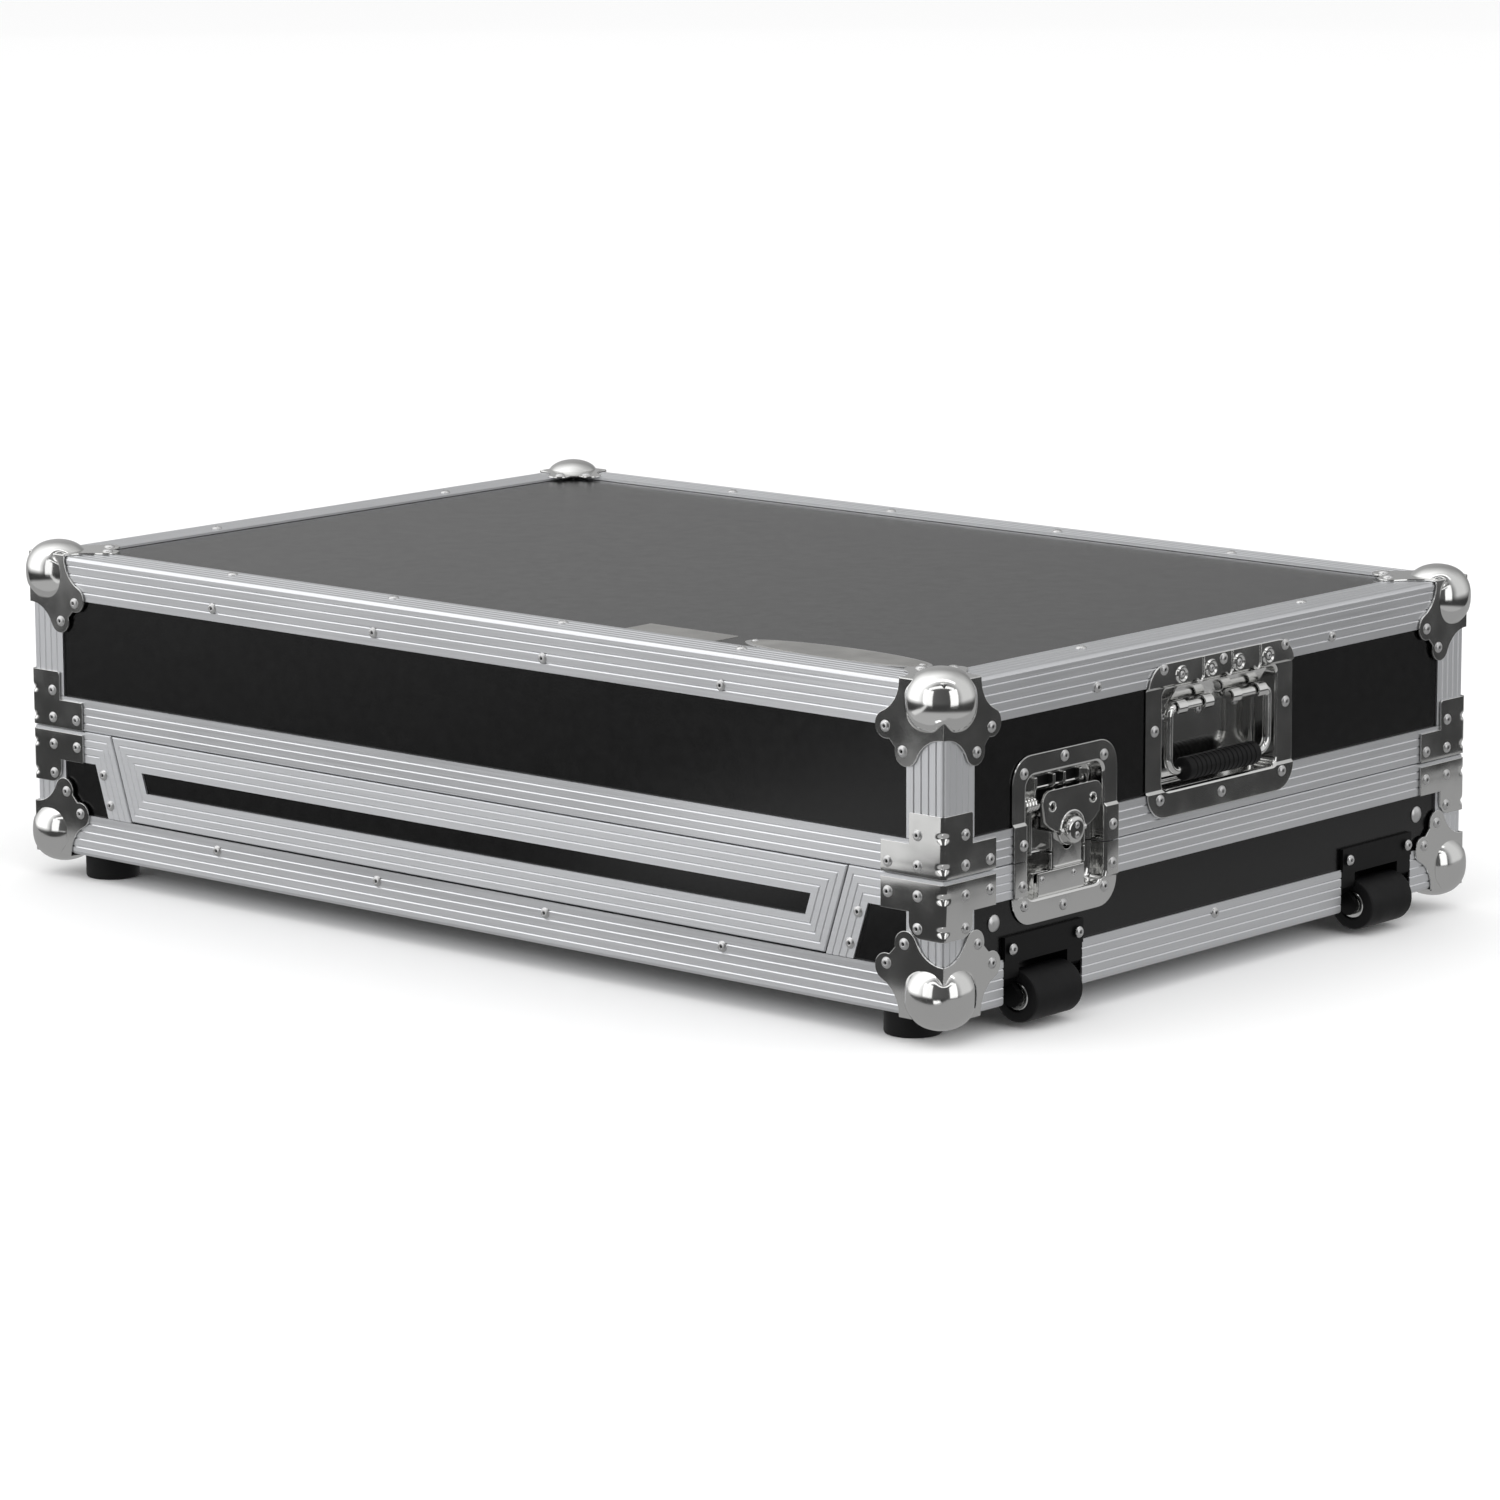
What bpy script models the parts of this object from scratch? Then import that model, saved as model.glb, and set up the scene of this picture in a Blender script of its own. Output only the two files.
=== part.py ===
"""A wheeled flight case for a dj controller, modelled piece by piece.

Metres, +Z up. The front, with its lift-out door, faces -Y, and the wheels are on the right end, +X.
The origin is on the floor, under the middle of the case.
"""
import math

import bmesh
import bpy
from mathutils import Matrix, Vector

# The case without its feet, and the running gaps
BODY_WIDTH = 0.836
BODY_DEPTH = 0.558
BODY_HEIGHT = 0.213
SEAM_HEIGHT = 0.090
SEAM_GAP = 0.0006
FIT = 0.0003
PAST = 0.1  # how far a cutter runs past what it cuts

# Plywood panels, and the aluminium edge angle that wraps their edges
PANEL_THICKNESS = 0.007
PANEL_CORNER_CUT = 0.002
RAIL_WIDTH = 0.030
RAIL_THICKNESS = 0.0015
RAIL_RADIUS = 0.0025
GROOVE_COUNT = 4
GROOVE_WIDTH = 0.0014
GROOVE_DEPTH = 0.0005
POST_OVERLAP = 0.004
POST_INSET = 0.00015

# The channels that meet at the seam: the lid's takes a tongue that stands on the base's
LID_CHANNEL_WIDTH = 0.0226
BASE_CHANNEL_WIDTH = 0.0220
CHANNEL_INNER_LEG = 0.012
CHANNEL_GROOVES = 3
TONGUE_THICKNESS = 0.0022
TONGUE_HEIGHT = 0.0032
TONGUE_CLEARANCE = 0.0007
GROOVE_FLOOR = 0.0012

# Front door, a trapezoid that is wider at its top, in its own channel frame
DOOR_FROM_END = 0.0785
DOOR_TAPER = 0.0190
DOOR_GAP = 0.0010
DOOR_CHANNEL_WIDTH = 0.0220

# Chrome ball corners: a ball over each corner and three two-lobed legs
BALL_RADIUS = 0.0227
BALL_INSET = 0.0140
BALL_SEGMENTS = 16
BALL_RINGS = 8
SHEET = 0.0012
LEG_EDGE = 0.035
SCOOP_RADIUS = 0.023
SCOOP_TURN = 66
LOBE_RADIUS = 0.009
LOBE_TURN = 80
LOBE_FAR = 0.0455
LOBE_NEAR = 0.0295

# Chrome corner braces beside the seam
BRACE_LEG_WIDTH = 0.027
BRACE_LEG_HEIGHT = 0.040
BRACE_ARM_LENGTH = 0.050
BRACE_ARM_HEIGHT = 0.020
BRACE_CORNER = 0.002
BASE_BRACE_LEG_HEIGHT = 0.0365
BASE_BRACE_CORNER = 0.010
BASE_BRACE_DROP = 0.0025

# Rubber feet
FOOT_HEIGHT = 0.018
FOOT_RADIUS = 0.019
FOOT_FROM_END = 0.0470
FOOT_FROM_FRONT = 0.0273
FOOT_CHAMFER = 0.0015
FOOT_RECESS_RADIUS = 0.007
FOOT_RECESS_DEPTH = 0.008

# Edge wheels in moulded housings let into the bottom right edge
WHEEL_RADIUS = 0.0172
WHEEL_WIDTH = 0.048
WHEEL_ROUNDING = 0.0015
WHEEL_FROM_END = 0.099
AXLE_INSET = 0.003
AXLE_RADIUS = 0.004
WHEEL_CLEARANCE = 0.0063
WHEEL_SIDE_GAP = 0.0005
HUB_RADIUS = 0.0095
HUB_RECESS = 0.0015
HOUSING_LENGTH = 0.079
HOUSING_DEPTH = 0.0295
HOUSING_FLANGE = 0.044
HOUSING_FLANGE_THICKNESS = 0.0025
CHEEK_CHAMFER = 0.017
LUG_RADIUS = 0.0065
LUG_THICKNESS = 0.0035
LUG_REACH = 0.0102

# Recessed twist latch across the seam at each end; its sizes are measured from the seam and its own middle
LATCH_FROM_FRONT = 0.1212
LATCH_HALF_WIDTH = 0.053
LATCH_LOW = -0.042
LATCH_HIGH = 0.067
LATCH_CORNER = 0.018
LATCH_OPENING_HALF_WIDTH = 0.039
LATCH_OPENING_LOW = -0.026
LATCH_OPENING_HIGH = 0.053
LATCH_OPENING_CORNER = 0.008
LATCH_DEPTH = 0.012
CAM_Y = 0.0080
CAM_Z = 0.0128
CAM_SHAFT_RADIUS = 0.005
CAM_DISC_RADIUS = 0.0088
CAM_DISC_FRONT = 0.0030
FOLD_PIN_RADIUS = 0.0012
FOLD_PIN_X = -0.0015
KNUCKLE_LENGTH = 0.0035
KNUCKLE_RADIUS = 0.0022
WING_THICKNESS = 0.0015
WING_HALF_WIDTH = 0.0300
WING_TOP = 0.0283
WING_HIP_Y = 0.0235
WING_HIP_Z = 0.0045
WING_SHOULDER = 0.0115
WING_CORNER = 0.007
WING_HOLE_RADIUS = 0.0025
WING_HOLE_Z = 0.0176
WING_HOLE_Y = 0.0206
WING_CLEARANCE = 0.0006
HOOK_FRONT = -0.0050
HOOK_THICKNESS = 0.0015
HOOK_WIDTH = 0.0290
HOOK_TOP = 0.008
HOOK_BOTTOM = -0.0285
HOOK_CORNER = 0.002
HOOK_TRAVEL = 0.008
HOOK_CLEARANCE = 0.0005
KEEPER_TOP = -0.0115
KEEPER_HALF_WIDTH = 0.0235
KEEPER_POCKET_BOTTOM = -0.0180

# Recessed lifting handle above the seam at each end
HANDLE_Y = 0.00375
HANDLE_Z = 0.0565
HANDLE_HALF_WIDTH = 0.0787
HANDLE_HALF_HEIGHT = 0.0508
HANDLE_CORNER = 0.018
HANDLE_OPENING_HALF_WIDTH = 0.0610
HANDLE_OPENING_HALF_HEIGHT = 0.0328
HANDLE_OPENING_CORNER = 0.005
HANDLE_DEPTH = 0.020
BAIL_WIRE_RADIUS = 0.0030
BAIL_HALF_WIDTH = 0.0530
BAIL_PIVOT_Z = 0.0195
BAIL_PIVOT_X = -0.0020
BAIL_DROP = 0.0415
BAIL_SHOULDER = 0.005
BAIL_BEND = 0.009
BAIL_PIN_END = 0.0100
BAIL_BORE_CLEARANCE = 0.0006
CURL_RADIUS = 0.0050
CURL_LENGTH = 0.009
CURL_PLACES = (-0.043, -0.015, 0.015, 0.043)
FLAP_HALF_WIDTH = 0.0480
FLAP_DEPTH = 0.0085
GRIP_RADIUS = 0.0078
GRIP_HALF_LENGTH = 0.0385
GRIP_ROUNDING = 0.0015

# Lid hinges on the back
HINGE_FROM_END = 0.188
HINGE_WIDTH = 0.060
HINGE_LEAF_HEIGHT = 0.0195
HINGE_BARREL_RADIUS = 0.0032
HINGE_PIN_RADIUS = 0.0016
HINGE_MIDDLE = 0.026
HINGE_GAP = 0.0005

# Foam lining
FOAM_INSET = 0.0116
FOAM_WALL = 0.015
FOAM_FLOOR = 0.012
FOAM_TOP_DROP = 0.003
LID_FOAM_INSET = 0.030
LID_FOAM_THICKNESS = 0.018

# Worked out from the sizes above
HALF_WIDTH = BODY_WIDTH / 2
HALF_DEPTH = BODY_DEPTH / 2
DOOR_HALF_TOP = HALF_WIDTH - DOOR_FROM_END
DOOR_HALF_BOTTOM = DOOR_HALF_TOP - DOOR_TAPER
WHEEL_Y = HALF_DEPTH - WHEEL_FROM_END
LATCH_Y = LATCH_FROM_FRONT - HALF_DEPTH
HINGE_X = HALF_WIDTH - HINGE_FROM_END
BOTTOM = FOOT_HEIGHT
TOP = BOTTOM + BODY_HEIGHT
SEAM = BOTTOM + SEAM_HEIGHT
LID_EDGE = SEAM + SEAM_GAP / 2
BASE_EDGE = SEAM - SEAM_GAP / 2
PANEL_FACE = RAIL_THICKNESS + FIT
PANEL_BACK = PANEL_FACE + PANEL_THICKNESS
CHANNEL_DEPTH = PANEL_BACK + FIT + RAIL_THICKNESS
TONGUE_MIDDLE = CHANNEL_DEPTH / 2
LID_WEB = TONGUE_HEIGHT + GROOVE_FLOOR + TONGUE_CLEARANCE
HINGE_Y = HALF_DEPTH + HINGE_BARREL_RADIUS + FIT
SHEET_FACE = FIT + SHEET
WHEEL_CAVITY = WHEEL_RADIUS + WHEEL_CLEARANCE
HOUSING_HALF = HOUSING_LENGTH / 2
CHEEK_Y = WHEEL_WIDTH / 2 + WHEEL_SIDE_GAP
DOOR_LOW = BOTTOM + RAIL_WIDTH + DOOR_GAP
DOOR_HIGH = BASE_EDGE - FIT
DOOR_SLOPE = math.atan2(DOOR_HALF_TOP - DOOR_HALF_BOTTOM, DOOR_HIGH - DOOR_LOW)

FINISHES = {
    "laminate": ((0.018, 0.018, 0.020), 0.55, 0.0),
    "aluminium": ((0.72, 0.73, 0.74), 0.35, 1.0),
    "chrome": ((0.80, 0.80, 0.80), 0.10, 1.0),
    "steel": ((0.55, 0.55, 0.56), 0.30, 1.0),
    "rubber": ((0.015, 0.015, 0.016), 0.70, 0.0),
    "plastic": ((0.012, 0.012, 0.013), 0.50, 0.0),
    "foam": ((0.030, 0.030, 0.032), 0.95, 0.0),
}


def clear_scene():
    for item in list(bpy.data.objects):
        bpy.data.objects.remove(item, do_unlink=True)


def finish_material(name):
    found = bpy.data.materials.get(name)
    if found:
        return found
    colour, roughness, metallic = FINISHES[name]
    made = bpy.data.materials.new(name)
    made.use_nodes = True
    shader = made.node_tree.nodes["Principled BSDF"]
    shader.inputs["Base Color"].default_value = (*colour, 1.0)
    shader.inputs["Roughness"].default_value = roughness
    shader.inputs["Metallic"].default_value = metallic
    return made


def pivot(name, location):
    """An empty on a joint's axis, which the pieces that move about it are parented to."""
    empty = bpy.data.objects.new(name, None)
    empty.location = location
    bpy.context.collection.objects.link(empty)
    return empty


def close_mesh(shape, smooth_angle=math.radians(32)):
    """Turn a finished bmesh into a mesh with its faces out and its round stretches smooth."""
    bmesh.ops.recalc_face_normals(shape, faces=shape.faces)
    mesh = bpy.data.meshes.new("piece")
    shape.to_mesh(mesh)
    shape.free()
    mesh.shade_smooth()
    mesh.set_sharp_from_angle(angle=smooth_angle)
    return mesh


def add_piece(name, mesh, finish, location=(0.0, 0.0, 0.0), rotation=None, parent=None):
    """Put a mesh, modelled about its own origin, at a place in the case."""
    if not mesh.materials:
        mesh.materials.append(finish_material(finish))
    piece = bpy.data.objects.new(name, mesh)
    place = Vector(location)
    if parent:
        piece.parent = parent
        place = place - parent.location
    turn = rotation.to_4x4() if rotation else Matrix.Identity(4)
    piece.matrix_local = Matrix.Translation(place) @ turn
    bpy.context.collection.objects.link(piece)
    return piece


def add_built(name, shape, finish, origin, parent=None):
    """Put a bmesh that was modelled where it belongs, with its origin moved to the point given."""
    bmesh.ops.translate(shape, vec=-Vector(origin), verts=shape.verts)
    return add_piece(name, close_mesh(shape), finish, origin, None, parent)


def boolean(body, tool, operation):
    """The body combined with the tool. Both shapes are used up."""
    holders = []
    for shape in (body, tool):
        bmesh.ops.recalc_face_normals(shape, faces=shape.faces)
        mesh = bpy.data.meshes.new("boolean")
        shape.to_mesh(mesh)
        shape.free()
        holder = bpy.data.objects.new("boolean", mesh)
        bpy.context.collection.objects.link(holder)
        holders.append(holder)
    modifier = holders[0].modifiers.new("combine", "BOOLEAN")
    modifier.operation = operation
    modifier.object = holders[1]
    evaluated = holders[0].evaluated_get(bpy.context.evaluated_depsgraph_get())
    result = bmesh.new()
    result.from_mesh(evaluated.to_mesh())
    evaluated.to_mesh_clear()
    for holder in holders:
        mesh = holder.data
        bpy.data.objects.remove(holder, do_unlink=True)
        bpy.data.meshes.remove(mesh)
    bmesh.ops.remove_doubles(result, verts=result.verts, dist=2e-6)
    bmesh.ops.dissolve_degenerate(result, edges=result.edges, dist=1e-6)
    return result


def cut(body, *tools):
    for tool in tools:
        body = boolean(body, tool, "DIFFERENCE")
    return body


def join(body, *tools):
    for tool in tools:
        body = boolean(body, tool, "UNION")
    return body


def keep(body, tool):
    return boolean(body, tool, "INTERSECT")


def box(low, high):
    shape = bmesh.new()
    bmesh.ops.create_cube(shape, size=1.0)
    low, high = Vector(low), Vector(high)
    bmesh.ops.scale(shape, vec=high - low, verts=shape.verts)
    bmesh.ops.translate(shape, vec=(low + high) / 2, verts=shape.verts)
    return shape


def prism(outline, axis, low, high):
    """Extrude a flat outline along X, Y or Z. Its points are the other two coordinates, in X, Y, Z order."""
    spread = {
        "X": lambda u, v: (low, u, v),
        "Y": lambda u, v: (u, low, v),
        "Z": lambda u, v: (u, v, low),
    }[axis]
    run = Vector([high - low if letter == axis else 0.0 for letter in "XYZ"])
    shape = bmesh.new()
    face = shape.faces.new([shape.verts.new(spread(u, v)) for u, v in outline])
    grown = bmesh.ops.extrude_face_region(shape, geom=[face], use_keep_orig=True)
    moved = [item for item in grown["geom"] if isinstance(item, bmesh.types.BMVert)]
    bmesh.ops.translate(shape, vec=run, verts=moved)
    return shape


def rod(axis, centre, radius, low, high, sides=24):
    """A round bar along an axis; centre holds its other two coordinates."""
    return prism(arc(centre, radius, 0.0, 360.0, sides)[:-1], axis, low, high)


def arc(centre, radius, start, end, steps):
    """Points on an arc, angles in degrees, both ends included."""
    points = []
    for index in range(steps + 1):
        angle = math.radians(start + (end - start) * index / steps)
        points.append((centre[0] + radius * math.cos(angle), centre[1] + radius * math.sin(angle)))
    return points


def rounded_rectangle(left, right, low, high, radius, steps=4):
    corners = [(right - radius, high - radius, 0), (left + radius, high - radius, 90),
               (left + radius, low + radius, 180), (right - radius, low + radius, 270)]
    points = []
    for across, up, start in corners:
        points += arc((across, up), radius, start, start + 90, steps)
    return points


def loft(sections, closed=False):
    """Bridge matching sections into one skin; an open run gets its two end faces."""
    shape = bmesh.new()
    rings = []
    for section in sections:
        corners = [shape.verts.new(point) for point in section]
        sides = [shape.edges.new(pair) for pair in zip(corners, corners[1:] + corners[:1])]
        rings.append((corners, sides))
    pairs = list(zip(rings, rings[1:]))
    if closed:
        pairs.append((rings[-1], rings[0]))
    for near, far in pairs:
        bmesh.ops.bridge_loops(shape, edges=near[1] + far[1])
    if not closed:
        shape.faces.new(rings[0][0])
        shape.faces.new(rings[-1][0])
    return shape


def spun(profile, steps=24):
    """Turn a profile of (radius, height) points about Z into a closed solid."""
    shape = bmesh.new()
    corners = [shape.verts.new((radius, 0.0, height)) for radius, height in profile]
    closed = profile[0][0] > 0.0 and profile[-1][0] > 0.0
    pairs = zip(corners, corners[1:] + (corners[:1] if closed else []))
    sides = [shape.edges.new(pair) for pair in pairs]
    bmesh.ops.spin(shape, geom=corners + sides, cent=(0, 0, 0), axis=(0, 0, 1),
                   angle=math.tau, steps=steps, use_merge=True)
    bmesh.ops.remove_doubles(shape, verts=shape.verts, dist=1e-6)
    return shape


def mirrored_x(shape):
    bmesh.ops.scale(shape, vec=(-1.0, 1.0, 1.0), verts=shape.verts)
    bmesh.ops.recalc_face_normals(shape, faces=shape.faces)
    return shape


def moved(shape, matrix):
    bmesh.ops.transform(shape, matrix=matrix, verts=shape.verts)
    return shape


# Extruded sections. Each point is (along the face from the edge, depth behind the face).


def grooves(start, end, count):
    """The outer face of a flange from start to end, with shallow V grooves across it."""
    points = []
    for index in range(count):
        middle = start + (end - start) * (index + 1) / (count + 1)
        side = math.copysign(GROOVE_WIDTH / 2, end - start)
        points += [(middle - side, 0.0), (middle, GROOVE_DEPTH), (middle + side, 0.0)]
    return points


def angle_profile():
    """The edge angle: two equal flanges with a round outer corner and a square inner one."""
    flange = [(RAIL_WIDTH, 0.0)] + grooves(RAIL_WIDTH, 0.0, GROOVE_COUNT) + [(RAIL_RADIUS, 0.0)]
    corner = arc((RAIL_RADIUS, RAIL_RADIUS), RAIL_RADIUS, 270, 180, 3)[1:-1]
    other = [(depth, along) for along, depth in reversed(flange)]
    inside = [(RAIL_THICKNESS, RAIL_WIDTH), (RAIL_THICKNESS, RAIL_THICKNESS), (RAIL_WIDTH, RAIL_THICKNESS)]
    return flange + corner + other + inside


def channel_profile(width, web, tongue):
    """The seam channel round a panel's edge. tongue is its height; a negative one is a groove."""
    outer = [(width, 0.0)] + grooves(width, 0.0, CHANNEL_GROOVES) + [(RAIL_THICKNESS / 2, 0.0)]
    half = TONGUE_THICKNESS / 2 + (TONGUE_CLEARANCE if tongue < 0 else 0.0)
    edge = [(0.0, RAIL_THICKNESS / 2)]
    if tongue:
        edge += [(0.0, TONGUE_MIDDLE - half), (-tongue, TONGUE_MIDDLE - half),
                 (-tongue, TONGUE_MIDDLE + half), (0.0, TONGUE_MIDDLE + half)]
    edge += [(0.0, CHANNEL_DEPTH), (CHANNEL_INNER_LEG, CHANNEL_DEPTH)]
    inside = [(CHANNEL_INNER_LEG, CHANNEL_DEPTH - RAIL_THICKNESS), (web, CHANNEL_DEPTH - RAIL_THICKNESS),
              (web, RAIL_THICKNESS), (width, RAIL_THICKNESS)]
    return outer + edge + inside


def corner_section(profile, side, end, level, direction):
    """A section mitred at a corner of the case; side and end are the signs of its X and Y."""
    return [(side * (HALF_WIDTH - depth), end * (HALF_DEPTH - depth), level + direction * along)
            for along, depth in profile]


def end_section(profile, side, y, level, direction):
    """A section cut square across a run along an end wall of the case."""
    return [(side * (HALF_WIDTH - depth), y, level + direction * along) for along, depth in profile]


def jamb_sections(profile):
    """The right door jamb: its foot, and its mitre with the channel beside it."""
    top_x = DOOR_HALF_TOP + DOOR_GAP / math.cos(DOOR_SLOPE)
    foot_z = BOTTOM + RAIL_WIDTH + FIT
    rise, lean = math.cos(DOOR_SLOPE), math.sin(DOOR_SLOPE)
    foot, mitre = [], []
    for along, depth in profile:
        down = (BASE_EDGE - foot_z - along * lean) / rise
        foot.append((top_x + along * rise - down * lean, -HALF_DEPTH + depth, foot_z))
        down = along * (1.0 - lean) / rise
        mitre.append((top_x + along * rise - down * lean, -HALF_DEPTH + depth, BASE_EDGE - along))
    return [foot, mitre]


def door_outline(inset):
    """The door's trapezoid as (x, z) points, drawn in by inset on all four sides."""
    low, high = DOOR_LOW + inset, DOOR_HIGH - inset
    slope = math.tan(DOOR_SLOPE)
    side = inset / math.cos(DOOR_SLOPE)
    low_x = DOOR_HALF_BOTTOM + (low - DOOR_LOW) * slope - side
    high_x = DOOR_HALF_BOTTOM + (high - DOOR_LOW) * slope - side
    return [(-low_x, low), (low_x, low), (high_x, high), (-high_x, high)]


# Pieces that are cut through the end walls share one placing rule


def end_matrix(side, y, z):
    """From hardware coordinates, with X out of the wall, to the right (1) or left (-1) end of the case."""
    turn = Matrix.Rotation(0.0 if side > 0 else math.pi, 4, "Z")
    return Matrix.Translation((side * HALF_WIDTH, y, z)) @ turn


def latch_cutter(side):
    grow = SHEET + FIT
    outline = rounded_rectangle(-LATCH_OPENING_HALF_WIDTH - grow, LATCH_OPENING_HALF_WIDTH + grow,
                                LATCH_OPENING_LOW - grow, LATCH_OPENING_HIGH + grow,
                                LATCH_OPENING_CORNER + grow)
    return moved(prism(outline, "X", -PAST, PAST), end_matrix(side, LATCH_Y, SEAM))


def handle_cutter(side):
    grow = SHEET + FIT
    outline = rounded_rectangle(-HANDLE_OPENING_HALF_WIDTH - grow, HANDLE_OPENING_HALF_WIDTH + grow,
                                -HANDLE_OPENING_HALF_HEIGHT - grow, HANDLE_OPENING_HALF_HEIGHT + grow,
                                HANDLE_OPENING_CORNER + grow)
    return moved(prism(outline, "X", -PAST, PAST), end_matrix(side, HANDLE_Y, SEAM + HANDLE_Z))


def latch_run_ends():
    """Where the seam channels stop short of a latch dish, along Y."""
    reach = LATCH_OPENING_HALF_WIDTH + SHEET + FIT
    return LATCH_Y - reach, LATCH_Y + reach


def wheel_pocket(y):
    """The space that a wheel housing takes out of the bottom right edge."""
    reach = HOUSING_DEPTH + FIT
    return box((HALF_WIDTH - reach, y - HOUSING_HALF - FIT, BOTTOM - PAST),
               (HALF_WIDTH + PAST, y + HOUSING_HALF + FIT, BOTTOM + reach))


# Panels


def flat_panel(low, high):
    """The top or the floor, with its corners trimmed to clear the ball corners."""
    x, y = HALF_WIDTH - PANEL_FACE, HALF_DEPTH - PANEL_FACE
    trim = PANEL_CORNER_CUT
    outline = [(x, y - trim), (x - trim, y), (trim - x, y), (-x, y - trim),
               (-x, trim - y), (trim - x, -y), (x - trim, -y), (x, trim - y)]
    return prism(outline, "Z", low, high)


def build_panels(lid_pivot):
    face_x, face_y = HALF_WIDTH - PANEL_FACE, HALF_DEPTH - PANEL_FACE
    back_x, back_y = HALF_WIDTH - PANEL_BACK, HALF_DEPTH - PANEL_BACK
    butt_y = back_y - FIT
    lid_low, lid_high = LID_EDGE + LID_WEB + FIT, TOP - PANEL_BACK - FIT
    base_low, base_high = BOTTOM + PANEL_BACK + FIT, BASE_EDGE - RAIL_THICKNESS - FIT

    top = flat_panel(TOP - PANEL_BACK, TOP - PANEL_FACE)
    add_built("lid_top_panel", top, "laminate", (0, 0, TOP - PANEL_FACE), lid_pivot)
    front = box((-face_x, -face_y, lid_low), (face_x, -back_y, lid_high))
    add_built("lid_front_panel", front, "laminate", (0, -face_y, lid_low), lid_pivot)
    back = box((-face_x, back_y, lid_low), (face_x, face_y, lid_high))
    add_built("lid_back_panel", back, "laminate", (0, face_y, lid_low), lid_pivot)

    floor = flat_panel(BOTTOM + PANEL_FACE, BOTTOM + PANEL_BACK)
    floor = cut(floor, wheel_pocket(WHEEL_Y), wheel_pocket(-WHEEL_Y))
    add_built("base_floor_panel", floor, "laminate", (0, 0, BOTTOM + PANEL_FACE))
    back = box((-face_x, back_y, base_low), (face_x, face_y, base_high))
    add_built("base_back_panel", back, "laminate", (0, face_y, base_low))

    for side, word in ((1, "right"), (-1, "left")):
        near, far = sorted((side * back_x, side * face_x))
        wall = box((near, -butt_y, lid_low), (far, butt_y, lid_high))
        wall = cut(wall, latch_cutter(side), handle_cutter(side))
        add_built(f"lid_{word}_panel", wall, "laminate", (side * face_x, 0, lid_low), lid_pivot)
        wall = box((near, -butt_y, base_low), (far, butt_y, base_high))
        wall = cut(wall, latch_cutter(side))
        if side > 0:
            wall = cut(wall, wheel_pocket(WHEEL_Y), wheel_pocket(-WHEEL_Y))
        add_built(f"base_{word}_panel", wall, "laminate", (side * face_x, 0, base_low))

    build_base_front(face_x, face_y, back_y, base_low, base_high)


def build_base_front(face_x, face_y, back_y, base_low, base_high):
    """The front wall of the base, with its V opening for the door."""
    strip_top = BOTTOM + RAIL_WIDTH - FIT
    clear = DOOR_GAP + RAIL_THICKNESS + FIT
    slope = math.tan(DOOR_SLOPE)
    opening_top = DOOR_HALF_TOP + clear / math.cos(DOOR_SLOPE) + (base_high - DOOR_HIGH) * slope
    opening_low = opening_top - (base_high - strip_top) * slope
    outline = [(-face_x, base_low), (face_x, base_low), (face_x, base_high), (opening_top, base_high),
               (opening_low, strip_top), (-opening_low, strip_top), (-opening_top, base_high),
               (-face_x, base_high)]
    wall = prism(outline, "Y", -face_y, -back_y)
    add_built("base_front_panel", wall, "laminate", (0, -face_y, base_low))


# Aluminium


def post(side, end, low, high):
    """A corner post between two levels; its faces lie a hair inside the rail that it runs into."""
    inset = POST_INSET
    section = [(side * (HALF_WIDTH - along - inset), end * (HALF_DEPTH - depth - inset))
               for along, depth in angle_profile()]
    return prism(section, "Z", low, high)


def trim_corner(frame, side, end, level, up):
    """Cut the frame's corner back to a round that the ball corner's shell covers."""
    point = box((-BALL_INSET, -BALL_INSET, -BALL_INSET), (FIT, FIT, FIT))
    waste = cut(point, ball(BALL_RADIUS - SHEET - FIT))
    place = Matrix.Translation((side * HALF_WIDTH, end * HALF_DEPTH, level))
    return cut(frame, moved(waste, place @ corner_turn(side, end, up).to_4x4()))


def build_edge_frames(lid_pivot):
    corners = ((1, 1), (-1, 1), (-1, -1), (1, -1))
    profile = angle_profile()

    ring = loft([corner_section(profile, side, end, TOP, -1) for side, end in corners], closed=True)
    foot = LID_EDGE + LID_CHANNEL_WIDTH + FIT
    for side, end in corners:
        ring = join(ring, post(side, end, foot, TOP - RAIL_WIDTH + POST_OVERLAP))
        ring = trim_corner(ring, side, end, TOP, 1)
    ring = cut(ring, handle_cutter(1), handle_cutter(-1))
    add_built("lid_edge_frame", ring, "aluminium", (0, 0, TOP), lid_pivot)

    stop = WHEEL_Y + HOUSING_HALF + FIT
    run = [end_section(profile, 1, stop, BOTTOM, 1)]
    run += [corner_section(profile, side, end, BOTTOM, 1) for side, end in corners]
    run.append(end_section(profile, 1, -stop, BOTTOM, 1))
    frame = loft(run)
    head = BASE_EDGE - BASE_CHANNEL_WIDTH - FIT
    for side, end in corners:
        frame = join(frame, post(side, end, BOTTOM + RAIL_WIDTH - POST_OVERLAP, head))
        frame = trim_corner(frame, side, end, BOTTOM, -1)
    add_built("base_edge_frame", frame, "aluminium", (0, 0, BOTTOM))

    inner = WHEEL_Y - HOUSING_HALF - FIT
    middle = loft([end_section(profile, 1, y, BOTTOM, 1) for y in (-inner, inner)])
    add_built("base_rail_between_wheels", middle, "aluminium", (HALF_WIDTH, 0, BOTTOM))


def hinge_leaf(x, level, direction):
    """The flat of a hinge leaf on the back of a seam channel, sunk a little into it."""
    near, far = sorted((level, level + direction * HINGE_LEAF_HEIGHT))
    return box((x - HINGE_WIDTH / 2, HALF_DEPTH - RAIL_THICKNESS / 4, near),
               (x + HINGE_WIDTH / 2, HALF_DEPTH + RAIL_THICKNESS, far))


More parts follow.
